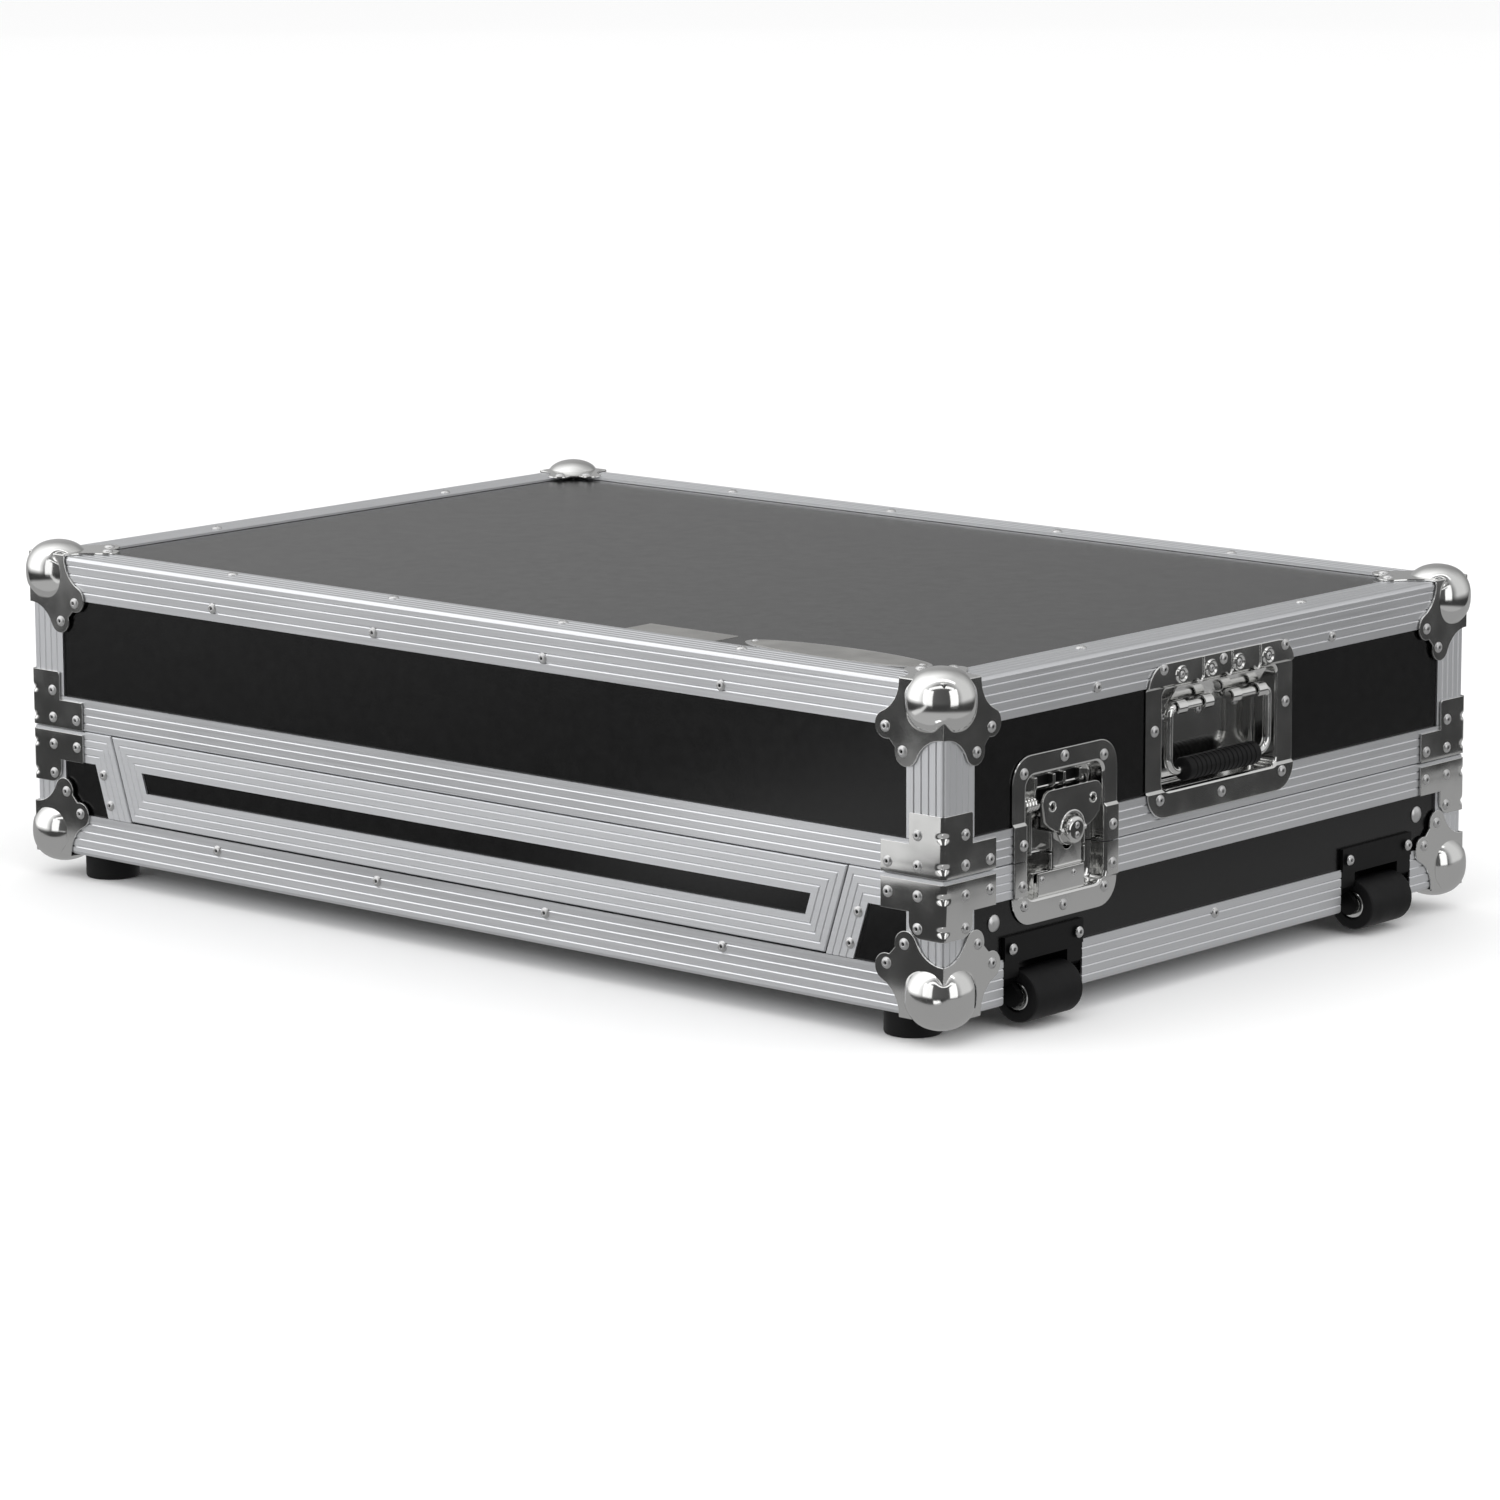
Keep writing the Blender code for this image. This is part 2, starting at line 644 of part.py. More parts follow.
def knuckle(x_low, x_high):
    return rod("X", (HINGE_Y, SEAM), HINGE_BARREL_RADIUS, x_low, x_high, 12)


def knuckle_room(x_low, x_high):
    """The notch in a leaf that clears the other leaf's knuckle."""
    room = HINGE_BARREL_RADIUS + HINGE_GAP
    return box((x_low - HINGE_GAP, HALF_DEPTH, SEAM - room), (x_high + HINGE_GAP, HINGE_Y, SEAM + room))


def lid_hinge(rail, x):
    half, middle = HINGE_WIDTH / 2, HINGE_MIDDLE / 2
    leaf = cut(hinge_leaf(x, LID_EDGE, 1), knuckle_room(x - half - HINGE_GAP, x - middle - HINGE_GAP),
               knuckle_room(x + middle + HINGE_GAP, x + half + HINGE_GAP))
    leaf = join(leaf, knuckle(x - middle, x + middle))
    leaf = cut(leaf, rod("X", (HINGE_Y, SEAM), HINGE_PIN_RADIUS + FIT, x - half, x + half, 8))
    return join(rail, leaf)


def base_hinge(rail, x):
    half, middle = HINGE_WIDTH / 2, HINGE_MIDDLE / 2
    leaf = cut(hinge_leaf(x, BASE_EDGE, -1), knuckle_room(x - middle, x + middle))
    leaf = join(leaf, knuckle(x - half, x - middle - HINGE_GAP), knuckle(x + middle + HINGE_GAP, x + half))
    leaf = join(leaf, rod("X", (HINGE_Y, SEAM), HINGE_PIN_RADIUS, x - half + FIT, x + half - FIT, 8))
    return join(rail, leaf)


def build_seam_channels(lid_pivot):
    front_stop, rear_stop = latch_run_ends()
    lid = channel_profile(LID_CHANNEL_WIDTH, LID_WEB, -TONGUE_HEIGHT - TONGUE_CLEARANCE)
    base = channel_profile(BASE_CHANNEL_WIDTH, RAIL_THICKNESS, TONGUE_HEIGHT)
    plain = channel_profile(BASE_CHANNEL_WIDTH, RAIL_THICKNESS, 0.0)

    run = [end_section(lid, 1, front_stop, LID_EDGE, 1), corner_section(lid, 1, -1, LID_EDGE, 1),
           corner_section(lid, -1, -1, LID_EDGE, 1), end_section(lid, -1, front_stop, LID_EDGE, 1)]
    add_built("lid_seam_channel_front", loft(run), "aluminium", (0, -HALF_DEPTH, LID_EDGE), lid_pivot)

    run = [end_section(lid, 1, rear_stop, LID_EDGE, 1), corner_section(lid, 1, 1, LID_EDGE, 1),
           corner_section(lid, -1, 1, LID_EDGE, 1), end_section(lid, -1, rear_stop, LID_EDGE, 1)]
    rear = cut(loft(run), handle_cutter(1), handle_cutter(-1))
    for x in (HINGE_X, -HINGE_X):
        rear = lid_hinge(rear, x)
    add_built("lid_seam_channel_rear", rear, "aluminium", (0, HALF_DEPTH, LID_EDGE), lid_pivot)

    run = [end_section(base, 1, rear_stop, BASE_EDGE, -1), corner_section(base, 1, 1, BASE_EDGE, -1),
           corner_section(base, -1, 1, BASE_EDGE, -1), end_section(base, -1, rear_stop, BASE_EDGE, -1)]
    rear = loft(run)
    for x in (HINGE_X, -HINGE_X):
        rear = base_hinge(rear, x)
    add_built("base_seam_channel_rear", rear, "aluminium", (0, HALF_DEPTH, BASE_EDGE))

    for side, word in ((1, "right"), (-1, "left")):
        run = jamb_sections(plain)
        run += [corner_section(plain, 1, -1, BASE_EDGE, -1), end_section(plain, 1, front_stop, BASE_EDGE, -1)]
        shape = loft(run) if side > 0 else mirrored_x(loft(run))
        add_built(f"base_door_jamb_{word}", shape, "aluminium", (side * HALF_WIDTH, -HALF_DEPTH, BASE_EDGE))


def build_door():
    """The door's middle is its origin; it draws straight out of the front."""
    middle = (0, -HALF_DEPTH, (DOOR_LOW + DOOR_HIGH) / 2)
    profile = channel_profile(DOOR_CHANNEL_WIDTH, RAIL_THICKNESS, 0.0)
    sections = [[], [], [], []]
    for along, depth in profile:
        for section, (x, z) in zip(sections, door_outline(along)):
            section.append((x, -HALF_DEPTH + depth, z))
    frame = loft(sections, closed=True)
    add_built("door_frame", frame, "aluminium", middle)
    panel = prism(door_outline(RAIL_THICKNESS + FIT), "Y", -HALF_DEPTH + PANEL_FACE, -HALF_DEPTH + PANEL_BACK)
    add_built("door_panel", panel, "laminate", middle)


# Chrome corner hardware, modelled with the corner of the case at the origin and the case on its minus sides


def leg_outline(grow=0.0, corner=-SHEET_FACE):
    """One leg of a ball corner, as distances from the corner along two edges of the case."""
    scoop = arc((LEG_EDGE + SCOOP_RADIUS, 0.0), SCOOP_RADIUS - grow, 180, 180 - SCOOP_TURN, 3)
    lobe = arc((LOBE_FAR, LOBE_NEAR), LOBE_RADIUS + grow, -SCOOP_TURN, LOBE_TURN, 3)
    half = [(LEG_EDGE + grow, corner)] + scoop + lobe
    return [(corner, corner)] + half + [(v, u) for u, v in reversed(half)]


def corner_turn(side, end, up):
    """The rotation that takes the (+X, +Y, +Z) corner to another corner of the case."""
    turn = Matrix(((side, 0, 0), (0, end, 0), (0, 0, up)))
    if side * end * up < 0:
        turn = turn @ Matrix(((0, 1, 0), (1, 0, 0), (0, 0, 1)))
    return turn


def ball(radius):
    """A ball centred where the ball corners have theirs."""
    shape = bmesh.new()
    bmesh.ops.create_uvsphere(shape, u_segments=BALL_SEGMENTS, v_segments=BALL_RINGS, radius=radius)
    bmesh.ops.translate(shape, vec=(-BALL_INSET, -BALL_INSET, -BALL_INSET), verts=shape.verts)
    return shape


def ball_corner_mesh():
    """The shell over the corner and its three legs, hollow where the case's rounded corner goes."""
    far, near = -3 * LOBE_FAR, -BALL_INSET
    outline = [(-u, -v) for u, v in leg_outline()]
    legs = join(*(prism(outline, face, -SHEET, SHEET_FACE) for face in "XYZ"))
    clear = 2 * SHEET_FACE
    outside = cut(box((near, near, near), (clear, clear, clear)), ball(BALL_RADIUS - SHEET / 2))
    shell = join(ball(BALL_RADIUS), cut(legs, outside))
    point = box((near, near, near), (clear, clear, clear))
    case = cut(box((far, far, far), (FIT, FIT, FIT)), cut(point, ball(BALL_RADIUS - SHEET)))
    return close_mesh(cut(shell, case))


def brace_outline(height, corner):
    """An L: its leg stands along the case's corner and its arm lies along the seam."""
    arm, leg = BRACE_ARM_LENGTH, BRACE_LEG_WIDTH
    outline = [(-SHEET_FACE, 0.0), (arm, 0.0), (arm, BRACE_ARM_HEIGHT), (leg, BRACE_ARM_HEIGHT)]
    outline += arc((leg - corner, height - corner), corner, 0, 90, 3)
    return outline + [(-SHEET_FACE, height)]


def brace_mesh(height, corner, direction):
    """A brace that stands up (1) or hangs down (-1) from the level of its arm's edge."""
    outline = [(-along, direction * up) for along, up in brace_outline(height, corner)]
    brace = join(prism(outline, "X", FIT, SHEET_FACE), prism(outline, "Y", FIT, SHEET_FACE))
    return close_mesh(brace)


def build_corner_hardware(lid_pivot):
    ball = ball_corner_mesh()
    lid_brace = brace_mesh(BRACE_LEG_HEIGHT, BRACE_CORNER, 1)
    base_brace = brace_mesh(BASE_BRACE_LEG_HEIGHT, BASE_BRACE_CORNER, -1)
    words = {(1, -1): "front_right", (-1, -1): "front_left", (1, 1): "rear_right", (-1, 1): "rear_left"}
    turns = {(1, 1): 0, (-1, 1): 90, (-1, -1): 180, (1, -1): 270}
    for (side, end), word in words.items():
        at = (side * HALF_WIDTH, end * HALF_DEPTH)
        add_piece(f"lid_ball_corner_{word}", ball, "chrome", (*at, TOP), corner_turn(side, end, 1), lid_pivot)
        add_piece(f"base_ball_corner_{word}", ball, "chrome", (*at, BOTTOM), corner_turn(side, end, -1))
        turn = Matrix.Rotation(math.radians(turns[side, end]), 3, "Z")
        add_piece(f"lid_brace_{word}", lid_brace, "chrome", (*at, LID_EDGE), turn, lid_pivot)
        add_piece(f"base_brace_{word}", base_brace, "chrome", (*at, BASE_EDGE - BASE_BRACE_DROP), turn)
        build_foot(f"foot_{word}", side, end)


def build_foot(name, side, end):
    """A rubber foot screwed up under the bottom rail; its top is let down over the ball corner's leg."""
    x, y = side * (HALF_WIDTH - FOOT_FROM_END), end * (HALF_DEPTH - FOOT_FROM_FRONT)
    top, rim = FOOT_HEIGHT - FIT, FOOT_RADIUS - FOOT_CHAMFER
    profile = [(0.0, FOOT_RECESS_DEPTH), (FOOT_RECESS_RADIUS, FOOT_RECESS_DEPTH), (FOOT_RECESS_RADIUS, 0.0),
               (rim, 0.0), (FOOT_RADIUS, FOOT_CHAMFER), (FOOT_RADIUS, top), (0.0, top)]
    foot = moved(spun(profile, 16), Matrix.Translation((x, y, 0)))
    place = Matrix.Translation((side * HALF_WIDTH, end * HALF_DEPTH, BOTTOM))
    outline = [(-u, -v) for u, v in leg_outline(FIT, -FOOT_RADIUS)]
    leg = prism(outline, "Z", -FIT, SHEET_FACE + FIT)
    add_built(name, cut(foot, moved(leg, place @ corner_turn(side, end, -1).to_4x4())), "rubber", (x, y, 0))


# Wheels


def housing_mesh():
    """A wheel housing about its axle: X out of the end wall, Z up, with the axle pin moulded in."""
    face = AXLE_INSET
    inner = AXLE_INSET - HOUSING_DEPTH
    half = HOUSING_HALF
    plate_back = face - PANEL_FACE + FIT
    plate_front = plate_back + HOUSING_FLANGE_THICKNESS
    block = box((inner, -half, -face), (face, half, -inner))
    side_plate = box((plate_back, -half, -inner - SHEET), (plate_front, half, HOUSING_FLANGE - face))
    under_plate = box((face - HOUSING_FLANGE, -half, -plate_front), (inner + SHEET, half, -plate_back))
    block = join(block, side_plate, under_plate)
    past = face + FIT
    corner = [(past, -past), (past, CHEEK_CHAMFER - face), (face, CHEEK_CHAMFER - face),
              (face - CHEEK_CHAMFER, -face), (face - CHEEK_CHAMFER, -past)]
    block = cut(block, prism(corner, "Y", -half - FIT, half + FIT),
                rod("Y", (0, 0), WHEEL_CAVITY, -CHEEK_Y, CHEEK_Y, 28))
    lug = arc((0, 0), LUG_RADIUS, -135, 45, 8)
    lug += [(lug[-1][0] - LUG_REACH, lug[-1][1] + LUG_REACH), (lug[0][0] - LUG_REACH, lug[0][1] + LUG_REACH)]
    for end in (1, -1):
        near, far = sorted((end * CHEEK_Y, end * (CHEEK_Y + LUG_THICKNESS)))
        block = join(block, prism(lug, "Y", near, far))
    pin = CHEEK_Y + LUG_THICKNESS / 2
    return close_mesh(join(block, rod("Y", (0, 0), AXLE_RADIUS, -pin, pin, 12)))


def wheel_mesh():
    """A wide tread with a recessed bearing seat at each end, turned about Y."""
    half = WHEEL_WIDTH / 2
    bore = AXLE_RADIUS + FIT
    rim = WHEEL_RADIUS - WHEEL_ROUNDING
    near = [(bore, half - HUB_RECESS), (HUB_RADIUS, half - HUB_RECESS), (HUB_RADIUS, half),
            (rim, half), (WHEEL_RADIUS, half - WHEEL_ROUNDING)]
    wheel = spun(near + [(radius, -height) for radius, height in reversed(near)], 20)
    return close_mesh(moved(wheel, Matrix.Rotation(math.radians(90), 4, "X")))


def build_wheels():
    housing, wheel = housing_mesh(), wheel_mesh()
    for end, word in ((-1, "front"), (1, "rear")):
        axle = (HALF_WIDTH - AXLE_INSET, end * WHEEL_Y, BOTTOM + AXLE_INSET)
        add_piece(f"wheel_housing_{word}", housing, "plastic", axle)
        add_piece(f"wheel_{word}", wheel, "rubber", axle)


# Recessed hardware in the end walls. X points out of the wall, from the face of the rails.


def pressed_dish(plate_outline, opening, levels, depth):
    """A sheet plate that follows the steps between rail and panel, with a dish pressed into it."""
    low_level = FIT - PANEL_FACE
    (z1, level1), (z2, level2), (z3, level3), (z4, level4) = [
        (z, FIT if raised else low_level) for z, raised in levels]
    line = [(level1, -PAST), (level1, z1), (level2, z2), (level3, z3), (level4, z4), (level4, PAST)]
    face = [(x + SHEET, z) for x, z in reversed(line)]
    plate = keep(prism(line + face, "Y", -PAST, PAST), prism(plate_outline, "X", -PAST, PAST))
    back = -depth - SHEET
    tub = prism([(back, -PAST), (back, PAST)] + face, "Y", -PAST, PAST)
    tub = keep(tub, prism(grown_outline(opening, SHEET), "X", -PAST, PAST))
    return cut(join(plate, tub), prism(rounded_rectangle(*opening), "X", -depth, PAST))


def grown_outline(opening, grow):
    left, right, low, high, radius = opening
    return rounded_rectangle(left - grow, right + grow, low - grow, high + grow, radius + grow)


def latch_opening():
    return (-LATCH_OPENING_HALF_WIDTH, LATCH_OPENING_HALF_WIDTH, LATCH_OPENING_LOW, LATCH_OPENING_HIGH,
            LATCH_OPENING_CORNER)


def latch_dish_meshes():
    """The latch dish, split at the seam into the lid's part and the base's, which carries the keeper."""
    step = PANEL_FACE
    low, high = -BASE_CHANNEL_WIDTH - FIT, LID_CHANNEL_WIDTH + FIT
    levels = [(low - step, False), (low, True), (high, True), (high + step, False)]
    plate = rounded_rectangle(-LATCH_HALF_WIDTH, LATCH_HALF_WIDTH, LATCH_LOW, LATCH_HIGH, LATCH_CORNER, 5)
    parts = []
    for floor, ceiling in ((SEAM_GAP / 2, PAST), (-PAST, -SEAM_GAP / 2)):
        whole = pressed_dish(plate, latch_opening(), levels, LATCH_DEPTH)
        parts.append(keep(whole, box((-PAST, -PAST, floor), (PAST, PAST, ceiling))))
    lid_part, base_part = parts
    front = HOOK_FRONT + HOOK_CLEARANCE + SHEET
    keeper = box((-LATCH_DEPTH - SHEET / 2, -KEEPER_HALF_WIDTH, LATCH_OPENING_LOW - SHEET / 2),
                 (front, KEEPER_HALF_WIDTH, KEEPER_TOP))
    reach = HOOK_WIDTH / 2 + HOOK_CLEARANCE
    pocket = box((HOOK_FRONT - HOOK_THICKNESS - HOOK_CLEARANCE, CAM_Y - reach, KEEPER_POCKET_BOTTOM),
                 (HOOK_FRONT + HOOK_CLEARANCE, CAM_Y + reach, KEEPER_TOP + FIT))
    return close_mesh(lid_part), close_mesh(join(base_part, cut(keeper, pocket)))


def cam_mesh():
    """The turning boss about its own axis, X: its shaft, its disc and the cross pin of the wing."""
    back = HOOK_FRONT + HOOK_CLEARANCE
    shaft = rod("X", (0, 0), CAM_SHAFT_RADIUS, -LATCH_DEPTH + FIT, back + SHEET, 16)
    cam = join(shaft, rod("X", (0, 0), CAM_DISC_RADIUS, back, CAM_DISC_FRONT, 20))
    reach = CAM_DISC_RADIUS + WING_CLEARANCE + KNUCKLE_LENGTH
    return close_mesh(join(cam, rod("Y", (FOLD_PIN_X, 0), FOLD_PIN_RADIUS, -reach, reach, 8)))


def wing_outline():
    """The heart-shaped wing from its fold axis up, as (y, z) points."""
    neck = CAM_DISC_RADIUS + WING_CLEARANCE + KNUCKLE_LENGTH
    corner = (WING_HALF_WIDTH - WING_CORNER, WING_TOP - WING_CORNER)
    right = [(neck, 0.0), (WING_HIP_Y, WING_HIP_Z), (WING_HALF_WIDTH, WING_SHOULDER)]
    right += arc(corner, WING_CORNER, 0, 90, 4)
    return right + [(-y, z) for y, z in reversed(right)]


def wing_mesh():
    """The wing about its fold axis, Y, lying flat; its slot swings clear of the boss that stands in it."""
    half = WING_THICKNESS / 2
    inner = CAM_DISC_RADIUS + WING_CLEARANCE
    outer = inner + KNUCKLE_LENGTH
    wing = prism(wing_outline(), "X", -half, half)
    slot_top = math.hypot(CAM_DISC_RADIUS, CAM_DISC_FRONT - FOLD_PIN_X + half) + WING_CLEARANCE
    side = math.degrees(math.acos(inner / slot_top))
    slot = [(inner, -slot_top)] + arc((0, 0), slot_top, side, 180 - side, 8) + [(-inner, -slot_top)]
    wing = cut(wing, prism(slot, "X", -WING_THICKNESS, WING_THICKNESS))
    for hole in (WING_HOLE_Y, -WING_HOLE_Y):
        round_hole = rod("X", (hole, WING_HOLE_Z), WING_HOLE_RADIUS, -WING_THICKNESS, WING_THICKNESS, 10)
        wing = cut(wing, round_hole)
    for end in (1, -1):
        near, far = sorted((end * inner, end * outer))
        wing = join(wing, rod("Y", (0, 0), KNUCKLE_RADIUS, near, far, 10))
    return close_mesh(cut(wing, rod("Y", (0, 0), FOLD_PIN_RADIUS + FIT, -outer - FIT, outer + FIT, 8)))


def hook_mesh():
    """The draw plate about the cam's axis; the cam's shaft rides in its slot."""
    half = HOOK_WIDTH / 2
    plate = rounded_rectangle(-half, half, HOOK_BOTTOM, HOOK_TOP, HOOK_CORNER, 2)
    slot = CAM_SHAFT_RADIUS + FIT
    outline = arc((0, 0), slot, 0, 180, 10) + arc((0, -HOOK_TRAVEL), slot, 180, 360, 10)
    hook = prism(plate, "X", HOOK_FRONT - HOOK_THICKNESS, HOOK_FRONT)
    return close_mesh(cut(hook, prism(outline, "X", -PAST, PAST)))


def build_latches(lid_pivot):
    lid_part, base_part = latch_dish_meshes()
    cam, wing, hook = cam_mesh(), wing_mesh(), hook_mesh()
    for side, word in ((1, "right"), (-1, "left")):
        place = end_matrix(side, LATCH_Y, SEAM)
        turn = place.to_3x3()
        axis = place @ Vector((0, CAM_Y, CAM_Z))
        fold = place @ Vector((FOLD_PIN_X, CAM_Y, CAM_Z))
        add_piece(f"latch_{word}_dish", lid_part, "chrome", place.translation, turn, lid_pivot)
        add_piece(f"latch_{word}_keeper", base_part, "chrome", place.translation, turn)
        add_piece(f"latch_{word}_cam", cam, "chrome", axis, turn, lid_pivot)
        add_piece(f"latch_{word}_wing", wing, "chrome", fold, turn, lid_pivot)
        add_piece(f"latch_{word}_hook", hook, "chrome", axis, turn, lid_pivot)


def handle_dish_mesh():
    step = PANEL_FACE
    low = LID_CHANNEL_WIDTH + FIT - HANDLE_Z
    high = BODY_HEIGHT - SEAM_HEIGHT - RAIL_WIDTH - FIT - HANDLE_Z
    levels = [(low, True), (low + step, False), (high - step, False), (high, True)]
    plate = rounded_rectangle(-HANDLE_HALF_WIDTH, HANDLE_HALF_WIDTH, -HANDLE_HALF_HEIGHT, HANDLE_HALF_HEIGHT,
                              HANDLE_CORNER, 5)
    opening = (-HANDLE_OPENING_HALF_WIDTH, HANDLE_OPENING_HALF_WIDTH, -HANDLE_OPENING_HALF_HEIGHT,
               HANDLE_OPENING_HALF_HEIGHT, HANDLE_OPENING_CORNER)
    dish = pressed_dish(plate, opening, levels, HANDLE_DEPTH)
    dish = join(dish, hinge_flap())
    for y in CURL_PLACES:
        low, high = y - CURL_LENGTH / 2, y + CURL_LENGTH / 2
        curl = rod("Y", (BAIL_PIVOT_X, BAIL_PIVOT_Z), CURL_RADIUS, low, high, 10)
        tab = prism([(BAIL_PIVOT_X, BAIL_PIVOT_Z), (-FLAP_DEPTH - SHEET / 2, BAIL_PIVOT_Z - SHEET / 2),
                     (-FLAP_DEPTH - SHEET / 2, BAIL_PIVOT_Z + SHEET / 2),
                     (BAIL_PIVOT_X, BAIL_PIVOT_Z + CURL_RADIUS - SHEET / 2)], "Y", low, high)
        dish = join(dish, join(curl, tab))
    bore = BAIL_WIRE_RADIUS + BAIL_BORE_CLEARANCE
    reach = CURL_PLACES[-1] + CURL_LENGTH
    return close_mesh(cut(dish, rod("Y", (BAIL_PIVOT_X, BAIL_PIVOT_Z), bore, -reach, reach, 8)))


def hinge_flap():
    """The flap that slopes in from the opening's top edge and carries the curls round the bail's ends."""
    top, low = HANDLE_OPENING_HALF_HEIGHT + SHEET / 2, BAIL_PIVOT_Z - SHEET
    outline = [(0.0, top), (-SHEET, top), (-FLAP_DEPTH - SHEET, low), (-FLAP_DEPTH, low)]
    return prism(outline, "Y", -FLAP_HALF_WIDTH, FLAP_HALF_WIDTH)


def bail_path():
    """The bent wire about its pivot axis, Y, from one inturned end round to the other."""
    shoulder, bend = BAIL_SHOULDER, BAIL_BEND
    left = [(-BAIL_PIN_END, 0.0)]
    left += arc((shoulder - BAIL_HALF_WIDTH, -shoulder), shoulder, 90, 180, 3)
    left += arc((bend - BAIL_HALF_WIDTH, bend - BAIL_DROP), bend, 180, 270, 4)
    return left + [(-across, up) for across, up in reversed(left)]


def bail_mesh():
    curve = bpy.data.curves.new("bail", "CURVE")
    curve.dimensions = "3D"
    curve.bevel_depth = BAIL_WIRE_RADIUS
    curve.bevel_resolution = 2
    curve.use_fill_caps = True
    spline = curve.splines.new("POLY")
    points = bail_path()
    spline.points.add(len(points) - 1)
    for point, place in zip(spline.points, points):
        point.co = (0.0, *place, 1.0)
    holder = bpy.data.objects.new("bail", curve)
    bpy.context.collection.objects.link(holder)
    evaluated = holder.evaluated_get(bpy.context.evaluated_depsgraph_get())
    wire = bmesh.new()
    wire.from_mesh(evaluated.to_mesh())
    evaluated.to_mesh_clear()
    bpy.data.objects.remove(holder, do_unlink=True)
    bpy.data.curves.remove(curve)
    bmesh.ops.remove_doubles(wire, verts=wire.verts, dist=1e-6)
    return close_mesh(join(wire, grip()))


def grip():
    """The rubber grip on the bail's lower bar."""
    end, rounding = GRIP_HALF_LENGTH, GRIP_ROUNDING
    profile = [(0.0, -end), (GRIP_RADIUS - rounding, -end), (GRIP_RADIUS, rounding - end),
               (GRIP_RADIUS, end - rounding), (GRIP_RADIUS - rounding, end), (0.0, end)]
    place = Matrix.Translation((0, 0, -BAIL_DROP)) @ Matrix.Rotation(math.radians(90), 4, "X")
    return moved(spun(profile, 16), place)


def build_handles(lid_pivot):
    dish, bail = handle_dish_mesh(), bail_mesh()
    for side, word in ((1, "right"), (-1, "left")):
        place = end_matrix(side, HANDLE_Y, SEAM + HANDLE_Z)
        hinge = place @ Vector((BAIL_PIVOT_X, 0, BAIL_PIVOT_Z))
        add_piece(f"handle_{word}_dish", dish, "chrome", place.translation, place.to_3x3(), lid_pivot)
        add_piece(f"handle_{word}_bail", bail, "steel", hinge, place.to_3x3(), lid_pivot)


# Foam


def build_foam(lid_pivot):
    out_x, out_y = HALF_WIDTH - FOAM_INSET, HALF_DEPTH - FOAM_INSET
    in_x, in_y = out_x - FOAM_WALL, out_y - FOAM_WALL
    low = BOTTOM + PANEL_BACK + FIT
    high = SEAM - FOAM_TOP_DROP
    tray = box((-out_x, -out_y, low), (out_x, out_y, high))
    tray = cut(tray, box((-in_x, -in_y, low + FOAM_FLOOR), (in_x, in_y, high + PAST)))
    tray = cut(tray, box((-DOOR_HALF_BOTTOM, -out_y - PAST, BOTTOM + RAIL_WIDTH),
                         (DOOR_HALF_BOTTOM, -in_y + FIT, high + PAST)))
    for end in (1, -1):
        tray = cut(tray, wheel_pocket(end * WHEEL_Y))
    reach = LATCH_OPENING_HALF_WIDTH + 2 * SHEET
    depth = LATCH_DEPTH + SHEET + FIT
    for side in (1, -1):
        near, far = sorted((side * (HALF_WIDTH - depth), side * HALF_WIDTH))
        tray = cut(tray, box((near, LATCH_Y - reach, SEAM + LATCH_OPENING_LOW - 2 * SHEET),
                             (far, LATCH_Y + reach, high + PAST)))
    add_built("base_foam_tray", tray, "foam", (0, 0, low))

    pad_x, pad_y = HALF_WIDTH - LID_FOAM_INSET, HALF_DEPTH - FOAM_INSET
    ceiling = TOP - PANEL_BACK - FIT
    pad = box((-pad_x, -pad_y, ceiling - LID_FOAM_THICKNESS), (pad_x, pad_y, ceiling))
    add_built("lid_foam_pad", pad, "foam", (0, 0, ceiling), lid_pivot)


def main():
    clear_scene()
    lid_pivot = pivot("lid_hinge_axis", (0.0, HINGE_Y, SEAM))
    build_panels(lid_pivot)
    build_edge_frames(lid_pivot)
    build_seam_channels(lid_pivot)
    build_door()
    build_corner_hardware(lid_pivot)
    build_wheels()
    build_latches(lid_pivot)
    build_handles(lid_pivot)
    build_foam(lid_pivot)


main()
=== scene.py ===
"""The looks of a wheeled flight case for a dj controller: a Blender add-on that also runs as a script."""

import math

import bmesh
import bpy
from bpy.props import FloatProperty, FloatVectorProperty, IntProperty, PointerProperty
from mathutils import Matrix, Vector


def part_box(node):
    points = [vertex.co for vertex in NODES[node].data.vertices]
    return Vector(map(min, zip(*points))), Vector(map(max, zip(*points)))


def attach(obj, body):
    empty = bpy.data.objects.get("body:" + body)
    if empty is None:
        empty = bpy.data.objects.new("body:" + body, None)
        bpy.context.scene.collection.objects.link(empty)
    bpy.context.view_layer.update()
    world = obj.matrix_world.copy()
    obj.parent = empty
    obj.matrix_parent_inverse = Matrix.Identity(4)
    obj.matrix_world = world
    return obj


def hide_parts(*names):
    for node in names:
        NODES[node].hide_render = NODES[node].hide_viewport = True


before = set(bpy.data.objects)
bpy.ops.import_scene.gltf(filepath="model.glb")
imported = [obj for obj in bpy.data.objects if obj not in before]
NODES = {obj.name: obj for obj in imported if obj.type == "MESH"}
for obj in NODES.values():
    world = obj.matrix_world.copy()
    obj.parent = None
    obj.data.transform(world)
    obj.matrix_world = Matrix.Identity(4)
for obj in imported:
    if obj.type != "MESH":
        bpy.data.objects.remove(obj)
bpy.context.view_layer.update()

bl_info = {
    "name": "Flight Case",
    "version": (1, 0, 0),
    "blender": (4, 5, 0),
    "location": "3D View > Sidebar > Flight Case",
    "description": "Dresses the packed flight case in rivets, pressed hardware, foam and finishes",
    "category": "Add Mesh",
}

